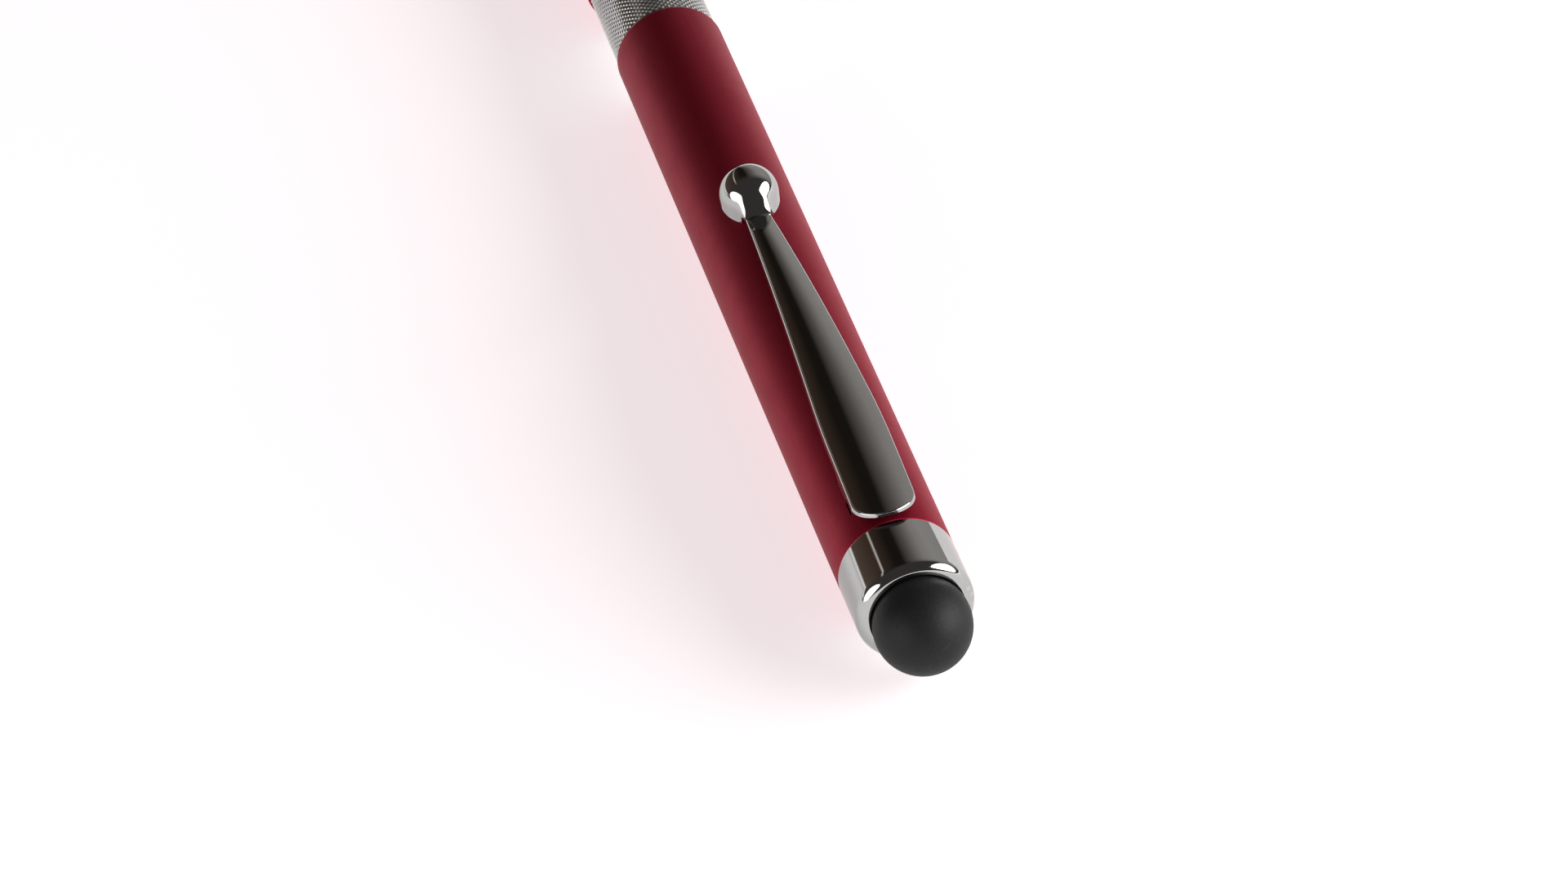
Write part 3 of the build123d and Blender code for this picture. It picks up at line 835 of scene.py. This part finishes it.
@dataclass
class PocketClip:
    """Crowned chrome clip with a hollow ball end and two toed tabs."""

    half_width: float = 2.7
    neck_half_width: float = 1.0
    set_back: float = 0.15
    end_length: float = 2.45
    straight: float = 12.0
    knee: float = 3.0
    base_rise: float = 0.8
    bow_rise: float = 2.4
    neck_rise: float = 0.55
    base_depth: float = 1.3
    bow_depth: float = 1.35
    neck_depth: float = 0.65
    crown_share: float = 2.2
    sheet: float = 0.45
    skin: float = 0.34
    bend: float = 0.13
    flare: float = 0.03
    open_end: float = 2.3
    barrel: float = 5.0
    ball_at: float = 45.9
    ball_radius: float = 2.6
    ball_rise: float = 1.2
    ball_lap: float = 0.9
    rim_rise: float = 0.6
    rim_tilt: float = 16.0
    mouth_rise: float = 0.75
    mouth_from: float = 2.35
    hood_from: float = 0.73
    hood_to: float = 3.2
    hood_slope: float = 0.13
    hood_sink: float = 0.02
    tab_at: float = 4.2
    tab_length: float = 3.0
    tab_lap: float = 0.3
    tab_edge: float = 0.06
    toe_length: float = 1.0
    toe_height: float = 0.6
    toe_floor: float = 2.447
    toe_lap: float = 0.1
    end_steps: int = 28
    long_steps: int = 110
    bend_steps: int = 6
    columns: int = 24
    ball_steps: int = 48
    hood_steps: int = 18
    arch_steps: int = 44
    wall_steps: int = 4
    crease: float = 38.0

    def build(self, shop: Workshop) -> None:
        """Build the clip as one mesh and fix it to its own body.

        Args:
            shop: Makes the mesh and fixes it.
        """
        shape = bmesh.new()
        self.add_channel(shape)
        self.add_ball(shape)
        self.add_tabs(shape)
        clip = shop.settle("dressed_pocket_clip", shape, "bright_trim", self.crease)
        shop.fix(clip, "pocket_clip", Body.CLIP)

    def along(self, s: float, base: float, bow: float, neck: float) -> float:
        """Follow a bowed line along the clip.

        Args:
            s: Station from the barrel's top end.
            base: The line's height above the barrel at the clip's end.
            bow: Its height halfway.
            neck: Its height at the ball.

        Returns:
            Its height above the pen's axis.
        """
        share = (s - self.set_back) / (self.ball_at - self.set_back)
        curve = 2 * (base + neck) - 4 * bow
        return self.barrel + base + (neck - base - curve) * share + curve * share**2

    def half_width_at(self, s: float) -> float:
        """Work out half the clip's width, straight at first and then tapered.

        Args:
            s: Station from the barrel's top end.

        Returns:
            Half the width there.
        """
        slope = (self.half_width - self.neck_half_width) / (self.ball_at - self.straight)
        past = s - self.straight
        if past < -self.knee:
            return self.half_width
        if past < self.knee:
            return self.half_width - slope * (past + self.knee) ** 2 / (4 * self.knee)
        return self.half_width - slope * past

    def crown(self, s: float, y: float) -> float:
        """Work out the height of the crowned top.

        Args:
            s: Station from the barrel's top end.
            y: Distance from the clip's middle.

        Returns:
            The height above the pen's axis.
        """
        radius = self.crown_share * self.half_width_at(s)
        top = self.along(s, self.base_rise, self.bow_rise, self.neck_rise)
        return top - radius + math.sqrt(radius**2 - y**2)

    def lower_edge(self, s: float) -> float:
        """Work out the height of the sides' lower edge.

        Args:
            s: Station from the barrel's top end.

        Returns:
            The height above the pen's axis.
        """
        rises = (self.base_rise, self.bow_rise, self.neck_rise)
        depths = (self.base_depth, self.bow_depth, self.neck_depth)
        return self.along(s, *(rise - depth for rise, depth in zip(rises, depths)))

    def outline(self) -> list[tuple[float, float, bool]]:
        """Draw the clip from above.

        Returns:
            Station, half width and whether the sides are open, from the rounded end to the neck.
        """
        points = []
        for step in range(self.end_steps + 1):
            angle = math.pi / 2 * step / self.end_steps
            s = self.set_back + self.end_length * (1 - math.cos(angle))
            points.append((s, self.half_width * math.sin(angle), s < self.open_end))
        first_side = next(number for number, point in enumerate(points) if not point[2])
        points.insert(first_side, (*points[first_side][:2], True))
        start = points[-1][0]
        end = self.ball_at - self.ball_radius + self.ball_lap * self.skin
        for step in range(1, self.long_steps + 1):
            s = start + (end - start) * step / self.long_steps
            points.append((s, self.half_width_at(s), False))
        return points

    def add_channel(self, shape: bmesh.types.BMesh) -> None:
        """Add the bowed channel, skinned over loops across it.

        Args:
            shape: The clip's shape.
        """
        points = self.outline()
        loops = []
        for number, (s, y, is_open) in enumerate(points):
            before = points[number - 1] if number else (s, -points[1][1], True)
            after = points[min(number + 1, len(points) - 1)]
            way = Vector((after[0] - before[0], after[1] - before[1])).normalized()
            section = self.section(s, y, Vector((-way.y, way.x)), is_open)
            loops.append([shape.verts.new((X_TOP + x, w, AXIS_Z + h)) for x, w, h in section])
        for first, second in zip(loops, loops[1:]):
            join_rings(shape, first, second)
        shape.faces.new(loops[-1])

    def section(self, s: float, y: float, out: Vector, is_open: bool) -> list[Point]:
        """Draw the closed loop across the channel at one station.

        Args:
            s: Station from the barrel's top end.
            y: Half width.
            out: Outward direction of the outline.
            is_open: Whether the sides stop at the sheet's underside.

        Returns:
            Points of the loop, from one lower edge over the top and back below.
        """
        def inset(depth: float, drop: float, floor: bool = False) -> Point:
            """Return a point drawn in from the outline and dropped below the crown."""
            x, w = s - depth * out.x, max(y - depth * out.y, 0.0)
            return (x, w, self.lower_edge(x) if floor and not is_open else self.crown(x, w) - drop)

        side = [inset(0.0, self.skin, True)]
        for step in range(self.bend_steps + 1):
            angle = math.pi / 2 * step / self.bend_steps
            depth = self.flare + self.bend * (1 - math.cos(angle))
            side.append(inset(depth, self.bend * (1 - math.sin(angle))))
        under = [inset(self.skin + self.flare, self.skin), inset(self.skin, self.skin, True)]
        return self.across(side) + list(reversed(self.across(list(reversed(under)))))

    def across(self, side: list[Point]) -> list[Point]:
        """Carry one side of a loop over to the other.

        Args:
            side: Points of one side, up to where the crowned strip starts.

        Returns:
            The side, the crowned strip and the side mirrored.
        """
        x, w, h = side[-1]
        drop = self.crown(x, w) - h
        strip = []
        for column in range(1, self.columns):
            y = w * math.cos(math.pi * column / self.columns)
            strip.append((x, y, self.crown(x, y) - drop))
        return side + strip + [(x, -w, h) for x, w, h in reversed(side)]

    def add_ball(self, shape: bmesh.types.BMesh) -> None:
        """Add the hollow ball, whose front runs down into the neck, as arches across the clip.

        Args:
            shape: The clip's shape.
        """
        loops = []
        for step in range(self.ball_steps + self.hood_steps + 1):
            outer = self.arch(step, self.ball_radius, 0.0)
            inner = self.arch(step, self.ball_radius - self.skin, self.skin)
            loops.append([shape.verts.new(point) for point in outer + list(reversed(inner))])
        for first, second in zip(loops, loops[1:]):
            join_rings(shape, first, second)
        shape.faces.new(loops[-1])

    def arch(self, step: int, radius: float, inset: float) -> list[Point]:
        """Draw one arch over the ball or its hood, from rim to rim.

        Args:
            step: Number of the arch, counted from the ball's back.
            radius: Radius of the ball's skin.
            inset: How far the skin lies inside the outer one.

        Returns:
            Points of the arch, in millimetres from the frame's origin.
        """
        tangent = self.hood_from * radius
        level = AXIS_Z + self.barrel + self.ball_rise
        if step <= self.ball_steps:
            turn = math.pi - math.acos(self.hood_from)
            ahead = -radius * math.cos(turn * step / self.ball_steps)
            width = height = math.sqrt(max(radius**2 - ahead**2, 0.0))
            edge = 0.0
        else:
            share = (step - self.ball_steps) / self.hood_steps
            run, start = self.hood_to - tangent, math.sqrt(radius**2 - tangent**2)
            ahead = tangent + run * share
            fall = -run * tangent / start
            s = self.ball_at - self.hood_to
            low = self.crown(s, 0.0) - self.barrel - self.ball_rise - self.hood_sink - inset
            narrow = self.half_width_at(s) - self.hood_sink - inset
            height = hermite(share, start, fall, low, self.hood_slope * run)
            width = hermite(share, start, fall, narrow, 0.0)
            edge = (self.mouth_rise - self.ball_rise) * share
        rim = self.rim_rise - self.ball_rise - math.tan(math.radians(self.rim_tilt)) * ahead
        if ahead > self.mouth_from:
            rim = min(self.mouth_rise - self.ball_rise, edge)
        x = X_TOP + self.ball_at - ahead
        wall = [(x, width, level + rim + (edge - rim) * k / self.wall_steps) for k in range(self.wall_steps)]
        over = []
        for k in range(self.arch_steps + 1):
            angle = math.pi * k / self.arch_steps
            over.append((x, width * math.cos(angle), level + edge + (height - edge) * math.sin(angle)))
        return wall + over + [(x, -y, z) for x, y, z in reversed(wall)]

    def add_tabs(self, shape: bmesh.types.BMesh) -> None:
        """Add the tabs that go through the barrel's slits, with their toes.

        Args:
            shape: The clip's shape.
        """
        tab_from, tab_to = X_TOP + self.tab_at, X_TOP + self.tab_at + self.tab_length
        floor = AXIS_Z + self.toe_floor
        tab_top = AXIS_Z + self.lower_edge(self.tab_at) + self.tab_lap
        toe_to, toe_top = tab_to + self.toe_length, floor + self.toe_height
        for side in (-1, 1):
            low, high = sorted((side * self.half_width, side * (self.half_width - self.sheet)))
            block(shape, (tab_from, low, floor), (tab_to, high, tab_top), self.tab_edge)
            block(shape, (tab_to - self.toe_lap, low, floor), (toe_to, high, toe_top), self.tab_edge)


@dataclass
class KnurledRing:
    """Silver ring between the barrel halves, covered with a diamond knurl."""

    radius: float = 4.8
    bore: float = 4.26
    edge: float = 0.06
    edge_steps: int = 3
    depth: float = 0.08
    around: int = 52
    sunk: float = 0.04
    flat: float = 0.3
    stud_sides: int = 4
    crease: float = 20.0

    def build(self, shop: Workshop) -> None:
        """Build the ring's core, grow the knurl on it and fix it to the lower half.

        Args:
            shop: Makes the mesh and fixes it.
        """
        root = self.radius - self.depth
        corners = [(X_RING, self.bore, 0.0), (X_RING, root, self.edge)]
        corners += [(X_LOWER, root, self.edge), (X_LOWER, self.bore, 0.0)]
        core = turned(eased(corners, self.edge_steps))
        ring = shop.settle("dressed_knurled_ring", core, "knurled_silver")
        half = math.pi * self.radius / self.around
        sizes = {
            "Start": X_RING * MM,
            "Length": (X_LOWER - X_RING) * MM,
            "Root radius": (root - self.sunk) * MM,
            "Axis height": AXIS_Z * MM,
            "Stud height": (self.depth + self.sunk) * MM,
            "Stud half width": half * MM,
            "Stud flat": self.flat * half * MM,
            "Around": self.around,
            "Rows": int((X_LOWER - X_RING) / half) - 1,
            "Finish": shop.materials["knurled_silver"],
        }
        shop.grow(ring, self.build_tree(), sizes)
        shop.bake(ring, "knurled_silver", self.crease)
        shop.fix(ring, "knurled_ring", Body.LOWER)

    def build_tree(self) -> bpy.types.NodeTree:
        """Build the nodes that set rows of four-sided studs round the core.

        Returns:
            The tree, which keeps the core and adds the studs.
        """
        ring_sizes = ("Start", "Length", "Root radius", "Axis height")
        stud_sizes = ("Stud height", "Stud half width", "Stud flat")
        inputs = {"Core": Socket.SHAPE}
        inputs.update({size: Socket.VALUE for size in (*ring_sizes, *stud_sizes)})
        inputs.update({"Around": Socket.COUNT, "Rows": Socket.COUNT, "Finish": Socket.FINISH})
        tree = new_group("diamond_knurl", "GeometryNodeTree", inputs, {"Ring": Socket.SHAPE})
        graph = Graph(tree)
        given = graph.add("NodeGroupInput").outputs
        index = graph.add("GeometryNodeInputIndex").outputs[0]
        row = graph.math("FLOOR", graph.math("DIVIDE", index, given["Around"]))
        column = graph.math("SUBTRACT", index, graph.math("MULTIPLY", row, given["Around"]))
        shift = graph.math("MULTIPLY", graph.math("MODULO", row, 2.0), 0.5)
        share = graph.math("DIVIDE", graph.math("ADD", column, shift), given["Around"])
        angle = graph.math("MULTIPLY", share, 2 * math.pi)
        step = graph.math("DIVIDE", given["Length"], graph.math("ADD", given["Rows"], 1.0))
        x = graph.math("ADD", given["Start"], graph.math("MULTIPLY", graph.math("ADD", row, 1.0), step))
        y = graph.math("MULTIPLY", given["Root radius"], graph.math("SINE", angle))
        rise = graph.math("MULTIPLY", given["Root radius"], graph.math("COSINE", angle))
        place = graph.vector(x, y, graph.math("ADD", given["Axis height"], rise))
        count = graph.math("MULTIPLY", given["Around"], given["Rows"])
        points = graph.add("GeometryNodePoints", {"Count": count, "Position": place})
        stud = graph.add("GeometryNodeMeshCone", {
            "Vertices": self.stud_sides, "Side Segments": 1, "Fill Segments": 1,
            "Radius Top": given["Stud flat"], "Radius Bottom": given["Stud half width"],
            "Depth": given["Stud height"],
        })
        lean = graph.vector(graph.math("MULTIPLY", angle, -1.0), 0.0, 0.0)
        turn = graph.add("FunctionNodeEulerToRotation", {0: lean})
        studs = graph.add("GeometryNodeInstanceOnPoints", {
            "Points": points.outputs[0], "Instance": stud.outputs[0], "Rotation": turn.outputs[0],
        })
        both = graph.add("GeometryNodeJoinGeometry")
        graph.feed(both.inputs[0], given["Core"])
        graph.feed(both.inputs[0], studs.outputs[0])
        real = graph.add("GeometryNodeRealizeInstances", {0: both.outputs[0]}).outputs[0]
        done = graph.add("GeometryNodeSetMaterial", {"Geometry": real, "Material": given["Finish"]})
        graph.feed(graph.add("NodeGroupOutput").inputs[0], done.outputs[0])
        return tree


@dataclass
class LowerHalf:
    """Red lower barrel and the chrome nose in its end."""

    radius: float = 5.0
    bore: float = 4.3
    straight: float = 12.0
    end_radius: float = 4.35
    end_bore: float = 3.65
    swell: float = 0.12
    coupling_in: float = 7.0
    top_edge: float = 0.4
    joint_edge: float = 0.08
    barrel_steps: int = 24
    nose_swell: float = 0.55
    nose_steps: int = 32
    mouth_radius: float = 1.7
    mouth_bore: float = 1.3
    mouth_edge: float = 0.2
    mouth_bore_edge: float = 0.05
    chamber: float = 2.4
    seat_in: float = 2.0
    spigot: float = 9.0
    spigot_gap: float = 0.02
    spigot_edge: float = 0.2
    crease: float = 25.0

    def build(self, shop: Workshop) -> None:
        """Build the barrel and the nose and fix both to the lower half.

        Args:
            shop: Makes the meshes and fixes them.
        """
        outline = turned(eased(self.barrel_corners()))
        barrel = shop.settle("dressed_lower_barrel", outline, "red_barrel", self.crease)
        shop.fix(barrel, "lower_barrel", Body.LOWER)
        outline = turned(eased(self.nose_corners()))
        nose = shop.settle("dressed_nose_cone", outline, "bright_trim", self.crease)
        shop.fix(nose, "nose_cone", Body.LOWER)

    def barrel_corners(self) -> list[Corner]:
        """Draw the lower barrel.

        Returns:
            Its outline: straight, then swelling to the nose.
        """
        taper = X_LOWER + self.straight
        coupling = X_LOWER + self.coupling_in
        corners = [(X_LOWER, self.bore, 0.0), (X_LOWER, self.radius, self.top_edge)]
        corners.append((taper, self.radius, 0.0))
        corners += belly((taper, self.radius), (X_NOSE, self.end_radius), self.swell, self.barrel_steps)
        corners += [(X_NOSE, self.end_radius, self.joint_edge), (X_NOSE, self.end_bore, 0.0)]
        return corners + [(coupling, self.end_bore, 0.0), (coupling, self.bore, 0.0)]

    def nose_corners(self) -> list[Corner]:
        """Draw the nose.

        Returns:
            Its outline: cone, mouth, spring chamber and spigot.
        """
        seat = X_NOSE + self.seat_in
        back = X_NOSE - self.spigot
        plug = self.end_bore - self.spigot_gap
        joint, mouth = (X_NOSE, self.end_radius), (X_MOUTH, self.mouth_radius)
        corners = [(X_NOSE, plug, 0.0), (*joint, self.joint_edge)]
        corners += belly(joint, mouth, self.nose_swell, self.nose_steps)
        corners += [(*mouth, self.mouth_edge), (X_MOUTH, self.mouth_bore, self.mouth_bore_edge)]
        corners += [(seat, self.mouth_bore, 0.0), (seat, self.chamber, 0.0), (back, self.chamber, 0.0)]
        return corners + [(back, plug, self.spigot_edge)]


@dataclass
class ReturnSpring:
    """Coil that pushes the refill back and is pressed together as the refill comes out."""

    wire: float = 0.35
    outside: float = 3.5
    turns: float = 6.0
    length: float = 9.0
    travel: float = 4.0
    end_gap: float = 0.03
    seat_in: float = 2.0
    turn_steps: int = 40
    wire_steps: int = 14
    crease: float = 50.0

    def build(self, shop: Workshop) -> None:
        """Wind the coil and fix it to the lower half.

        Args:
            shop: Makes the mesh and fixes it.
        """
        seat = X_NOSE + self.seat_in
        start = seat - self.length + self.wire / 2 + self.end_gap
        sizes = {
            "Turns": self.turns,
            "Coil radius": (self.outside - self.wire) / 2 * MM,
            "Length": (self.length - self.wire - 2 * self.end_gap) * MM,
            "Wire radius": self.wire / 2 * MM,
            "Place": (start * MM, 0.0, AXIS_Z * MM),
            "Finish": shop.materials["spring_steel"],
        }
        coil = shop.settle("dressed_return_spring", bmesh.new(), "spring_steel")
        shop.grow(coil, self.build_tree(), sizes)
        shop.bake(coil, "spring_steel", self.crease)
        shop.fix(coil, "return_spring", Body.LOWER)
        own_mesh(coil)

    def build_tree(self) -> bpy.types.NodeTree:
        """Build the nodes that wind a round wire along the pen.

        Returns:
            The tree, which puts out the coil alone.
        """
        inputs = {size: Socket.VALUE for size in ("Turns", "Coil radius", "Length", "Wire radius")}
        inputs.update({"Place": Socket.PLACE, "Finish": Socket.FINISH})
        tree = new_group("wound_coil", "GeometryNodeTree", inputs, {"Coil": Socket.SHAPE})
        graph = Graph(tree)
        given = graph.add("NodeGroupInput").outputs
        line = graph.add("GeometryNodeCurveSpiral", {
            "Resolution": self.turn_steps, "Rotations": given["Turns"], "Start Radius": given["Coil radius"],
            "End Radius": given["Coil radius"], "Height": given["Length"],
        })
        laid = graph.add("GeometryNodeTransform", {
            "Geometry": line.outputs[0], "Translation": given["Place"], "Rotation": (0.0, math.pi / 2, 0.0),
        })
        wire = graph.add("GeometryNodeCurvePrimitiveCircle", {
            "Resolution": self.wire_steps, "Radius": given["Wire radius"],
        })
        coil = graph.add("GeometryNodeCurveToMesh", {
            "Curve": laid.outputs[0], "Profile Curve": wire.outputs[0], "Fill Caps": True,
        })
        real = graph.add("GeometryNodeRealizeInstances", {0: coil.outputs[0]}).outputs[0]
        done = graph.add("GeometryNodeSetMaterial", {"Geometry": real, "Material": given["Finish"]})
        graph.feed(graph.add("NodeGroupOutput").inputs[0], done.outputs[0])
        return tree


@dataclass
class InnerWorks:
    """Twist mechanism and refill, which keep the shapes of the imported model."""

    brass: tuple[str, ...] = ("tip_plug", "top_bushing", "guide_tube", "stop_collar", "centre_coupling")
    acetal: tuple[str, ...] = ("cam_sleeve", "follower", "refill_plug")
    spring: tuple[str, ...] = ("snap_ring", "cross_pin")
    steel: tuple[str, ...] = ("refill_tube", "refill_point", "point_ball")
    seal: tuple[str, ...] = ("friction_ring",)

    def build(self, shop: Workshop) -> None:
        """Give every inner piece its finish.

        Args:
            shop: Dresses the pieces.
        """
        groups = {
            "inner_brass": self.brass, "white_acetal": self.acetal, "spring_steel": self.spring,
            "refill_steel": self.steel, "seal_rubber": self.seal,
        }
        for slot, nodes in groups.items():
            for node in nodes:
                shop.dress(node, slot)


@dataclass(frozen=True)
class Softbox:
    """One soft lamp that looks at the pen."""

    name: str
    bearing: float
    elevation: float
    brightness: float
    distance: float = 1.0
    width: float = 1.06
    height: float = 0.60


@dataclass(frozen=True)
class Band:
    """Brightness of the surroundings at one angle, in degrees, round the pen's long axis."""

    angle: float
    colour: Colour

    def share(self) -> float:
        """Return the angle as a share of a full turn from straight below the pen."""
        return 0.5 + self.angle / 360


@dataclass
class Studio:
    """Pale floor, soft lamps, surroundings and the camera."""

    floor_size: float = 3.0
    floor_cells: int = 8
    floor_drop: float = 0.02
    floor_colour: Colour = (0.90, 0.90, 0.90)
    floor_glow: float = 0.46
    # Extra glow that only the camera sees, pinkish: white where the floor is lit, painted pink bounce light
    # in the shadow.
    camera_glow_with_pink_bounce: Colour = (0.25, 0.175, 0.195)
    target_along: float = 19.63
    target_across: float = 4.47
    target_above: float = -0.17
    distance: float = 514.0
    elevation: float = 38.76
    heading: float = -9.50
    roll: float = 8.24
    lens: float = 140.756
    sensor: float = 36.0
    nearest: float = 0.01
    lamps: tuple[Softbox, ...] = (
        Softbox("right_softbox", bearing=-116.0, elevation=21.0, brightness=6.4),
        Softbox("left_softbox", bearing=116.0, elevation=15.0, brightness=2.0),
    )
    straight_on: Colour = (1.0, 1.0, 1.0)
    room: Colour = (0.045, 0.042, 0.040)
    room_to: float = 0.05
    bands_from: float = 0.40
    bands: tuple[Band, ...] = (
        Band(-90.0, (0.30, 0.30, 0.285)),
        Band(-60.0, (0.34, 0.335, 0.32)),
        Band(-42.0, (0.29, 0.275, 0.265)),
        Band(-20.0, (0.12, 0.11, 0.10)),
        Band(-2.0, (0.012, 0.010, 0.008)),
        Band(12.0, (0.012, 0.010, 0.008)),
        Band(36.6, (0.05, 0.032, 0.022)),
        Band(37.8, (0.62, 0.60, 0.58)),
        Band(40.2, (0.62, 0.60, 0.58)),
        Band(41.4, (0.05, 0.032, 0.022)),
        Band(82.0, (0.10, 0.075, 0.058)),
        Band(84.0, (1.0, 0.99, 0.99)),
        Band(86.0, (1.0, 0.99, 0.99)),
        Band(88.0, (0.70, 0.68, 0.69)),
    )

    def build(self) -> None:
        """Build the floor, the lamps, the surroundings and the camera."""
        self.add_floor()
        for lamp in self.lamps:
            self.add_lamp(lamp)
        self.add_surroundings()
        self.add_camera()
        bpy.context.scene.view_settings.view_transform = "Standard"

    def add_floor(self) -> None:
        """Add the floor, which keeps the shadow; the metal sees it as white, and the camera as white with a
        pinkish glow that paints pink bounce light into the shadow.
        """
        shape = bmesh.new()
        cells = self.floor_cells
        bmesh.ops.create_grid(shape, x_segments=cells, y_segments=cells, size=self.floor_size / 2)
        bmesh.ops.translate(shape, vec=(0.0, 0.0, -self.floor_drop * MM), verts=shape.verts)
        mesh = bpy.data.meshes.new("floor")
        shape.to_mesh(mesh)
        shape.free()
        material = bpy.data.materials.new("pale_floor")
        graph = empty_graph(material)
        path = graph.add("ShaderNodeLightPath").outputs
        seen = graph.math("MAXIMUM", path["Is Camera Ray"], path["Is Glossy Ray"])
        seen = graph.math("MAXIMUM", seen, path["Is Transmission Ray"])
        paint = graph.add("ShaderNodeBsdfDiffuse", {"Color": (*self.floor_colour, 1.0)})
        metal = (self.floor_glow,) * 3
        # Painted bounce light: the camera's extra glow is pinkish, so the lit floor reads white and the
        # shadow pink, like light bounced off the red barrel.
        camera_colour_with_pink_bounce = tuple(self.floor_glow + more for more in self.camera_glow_with_pink_bounce)
        colour = graph.blend(path["Is Camera Ray"], metal, camera_colour_with_pink_bounce)
        glow = graph.add("ShaderNodeEmission", {"Color": colour, "Strength": seen})
        both = graph.add("ShaderNodeAddShader", {0: paint.outputs[0], 1: glow.outputs[0]})
        graph.add("ShaderNodeOutputMaterial", {"Surface": both.outputs[0]})
        mesh.materials.append(material)
        floor = bpy.data.objects.new("floor", mesh)
        bpy.context.scene.collection.objects.link(floor)

    def add_lamp(self, lamp: Softbox) -> None:
        """Add one soft lamp, turned to the pen.

        Args:
            lamp: Its place, size and brightness.
        """
        light = bpy.data.lights.new(lamp.name, "AREA")
        light.shape = "ELLIPSE"
        light.size = lamp.width
        light.size_y = lamp.height
        area = math.pi / 4 * lamp.width * lamp.height
        light.energy = lamp.brightness * math.pi * area
        bearing, elevation = math.radians(lamp.bearing), math.radians(lamp.elevation)
        level = math.cos(elevation)
        away = Vector((level * math.cos(bearing), level * math.sin(bearing), math.sin(elevation)))
        holder = bpy.data.objects.new(lamp.name, light)
        holder.location = away * lamp.distance
        holder.rotation_euler = away.to_track_quat("Z", "Y").to_euler()
        bpy.context.scene.collection.objects.link(holder)

    def add_surroundings(self) -> None:
        """Add the dim room round the pen, white where the camera looks straight at it."""
        world = bpy.data.worlds.new("studio")
        bpy.context.scene.world = world
        graph = empty_graph(world)
        direction = graph.add("ShaderNodeTexCoord").outputs["Generated"]
        way = graph.add("ShaderNodeSeparateXYZ", {0: direction}).outputs
        angle = graph.math("ARCTAN2", way["Y"], way["Z"])
        ramp = graph.add("ShaderNodeValToRGB", {0: graph.spread(angle, -math.pi, math.pi)})
        stops = ramp.color_ramp.elements
        for number, band in enumerate(self.bands):
            stop = stops[number] if number < len(stops) else stops.new(band.share())
            stop.position = band.share()
            stop.color = (*band.colour, 1.0)
        ahead = graph.spread(way["X"], self.room_to, self.bands_from)
        around = graph.blend(ahead, self.room, ramp.outputs[0])
        straight = graph.add("ShaderNodeLightPath").outputs["Is Camera Ray"]
        back = graph.add("ShaderNodeBackground", {"Color": graph.blend(straight, around, self.straight_on)})
        graph.add("ShaderNodeOutputWorld", {"Surface": back.outputs[0]})

    def add_camera(self) -> None:
        """Add the camera at the photograph's viewing angle."""
        heading, elevation, roll = (math.radians(v) for v in (self.heading, self.elevation, self.roll))
        level = math.cos(elevation)
        forward = Vector((level * math.cos(heading), level * math.sin(heading), -math.sin(elevation)))
        side = forward.cross(Vector((0.0, 0.0, 1.0))).normalized()
        up = side.cross(forward)
        right = side * math.cos(roll) - up * math.sin(roll)
        up = up * math.cos(roll) + side * math.sin(roll)
        target = Vector((X_TOP + self.target_along, self.target_across, AXIS_Z + self.target_above)) * MM
        matrix = Matrix((right, up, -forward)).transposed().to_4x4()
        matrix.translation = target - forward * self.distance * MM
        camera = bpy.data.cameras.new("camera")
        camera.sensor_fit = "HORIZONTAL"
        camera.sensor_width = self.sensor
        camera.lens = self.lens
        camera.clip_start = self.nearest
        holder = bpy.data.objects.new("camera", camera)
        holder.matrix_world = matrix
        bpy.context.scene.collection.objects.link(holder)
        bpy.context.scene.camera = holder


def main() -> None:
    """Build the pen's pieces in order, then the studio."""
    logging.basicConfig(level=logging.INFO, format="%(name)s: %(message)s")
    shop = Workshop()
    upper = (UpperBarrel(), StylusEnd(), PocketClip())
    lower = (KnurledRing(), LowerHalf(), ReturnSpring())
    for piece in (*upper, *lower, InnerWorks()):
        piece.build(shop)
    Studio().build()


if __name__ == "__main__":
    main()
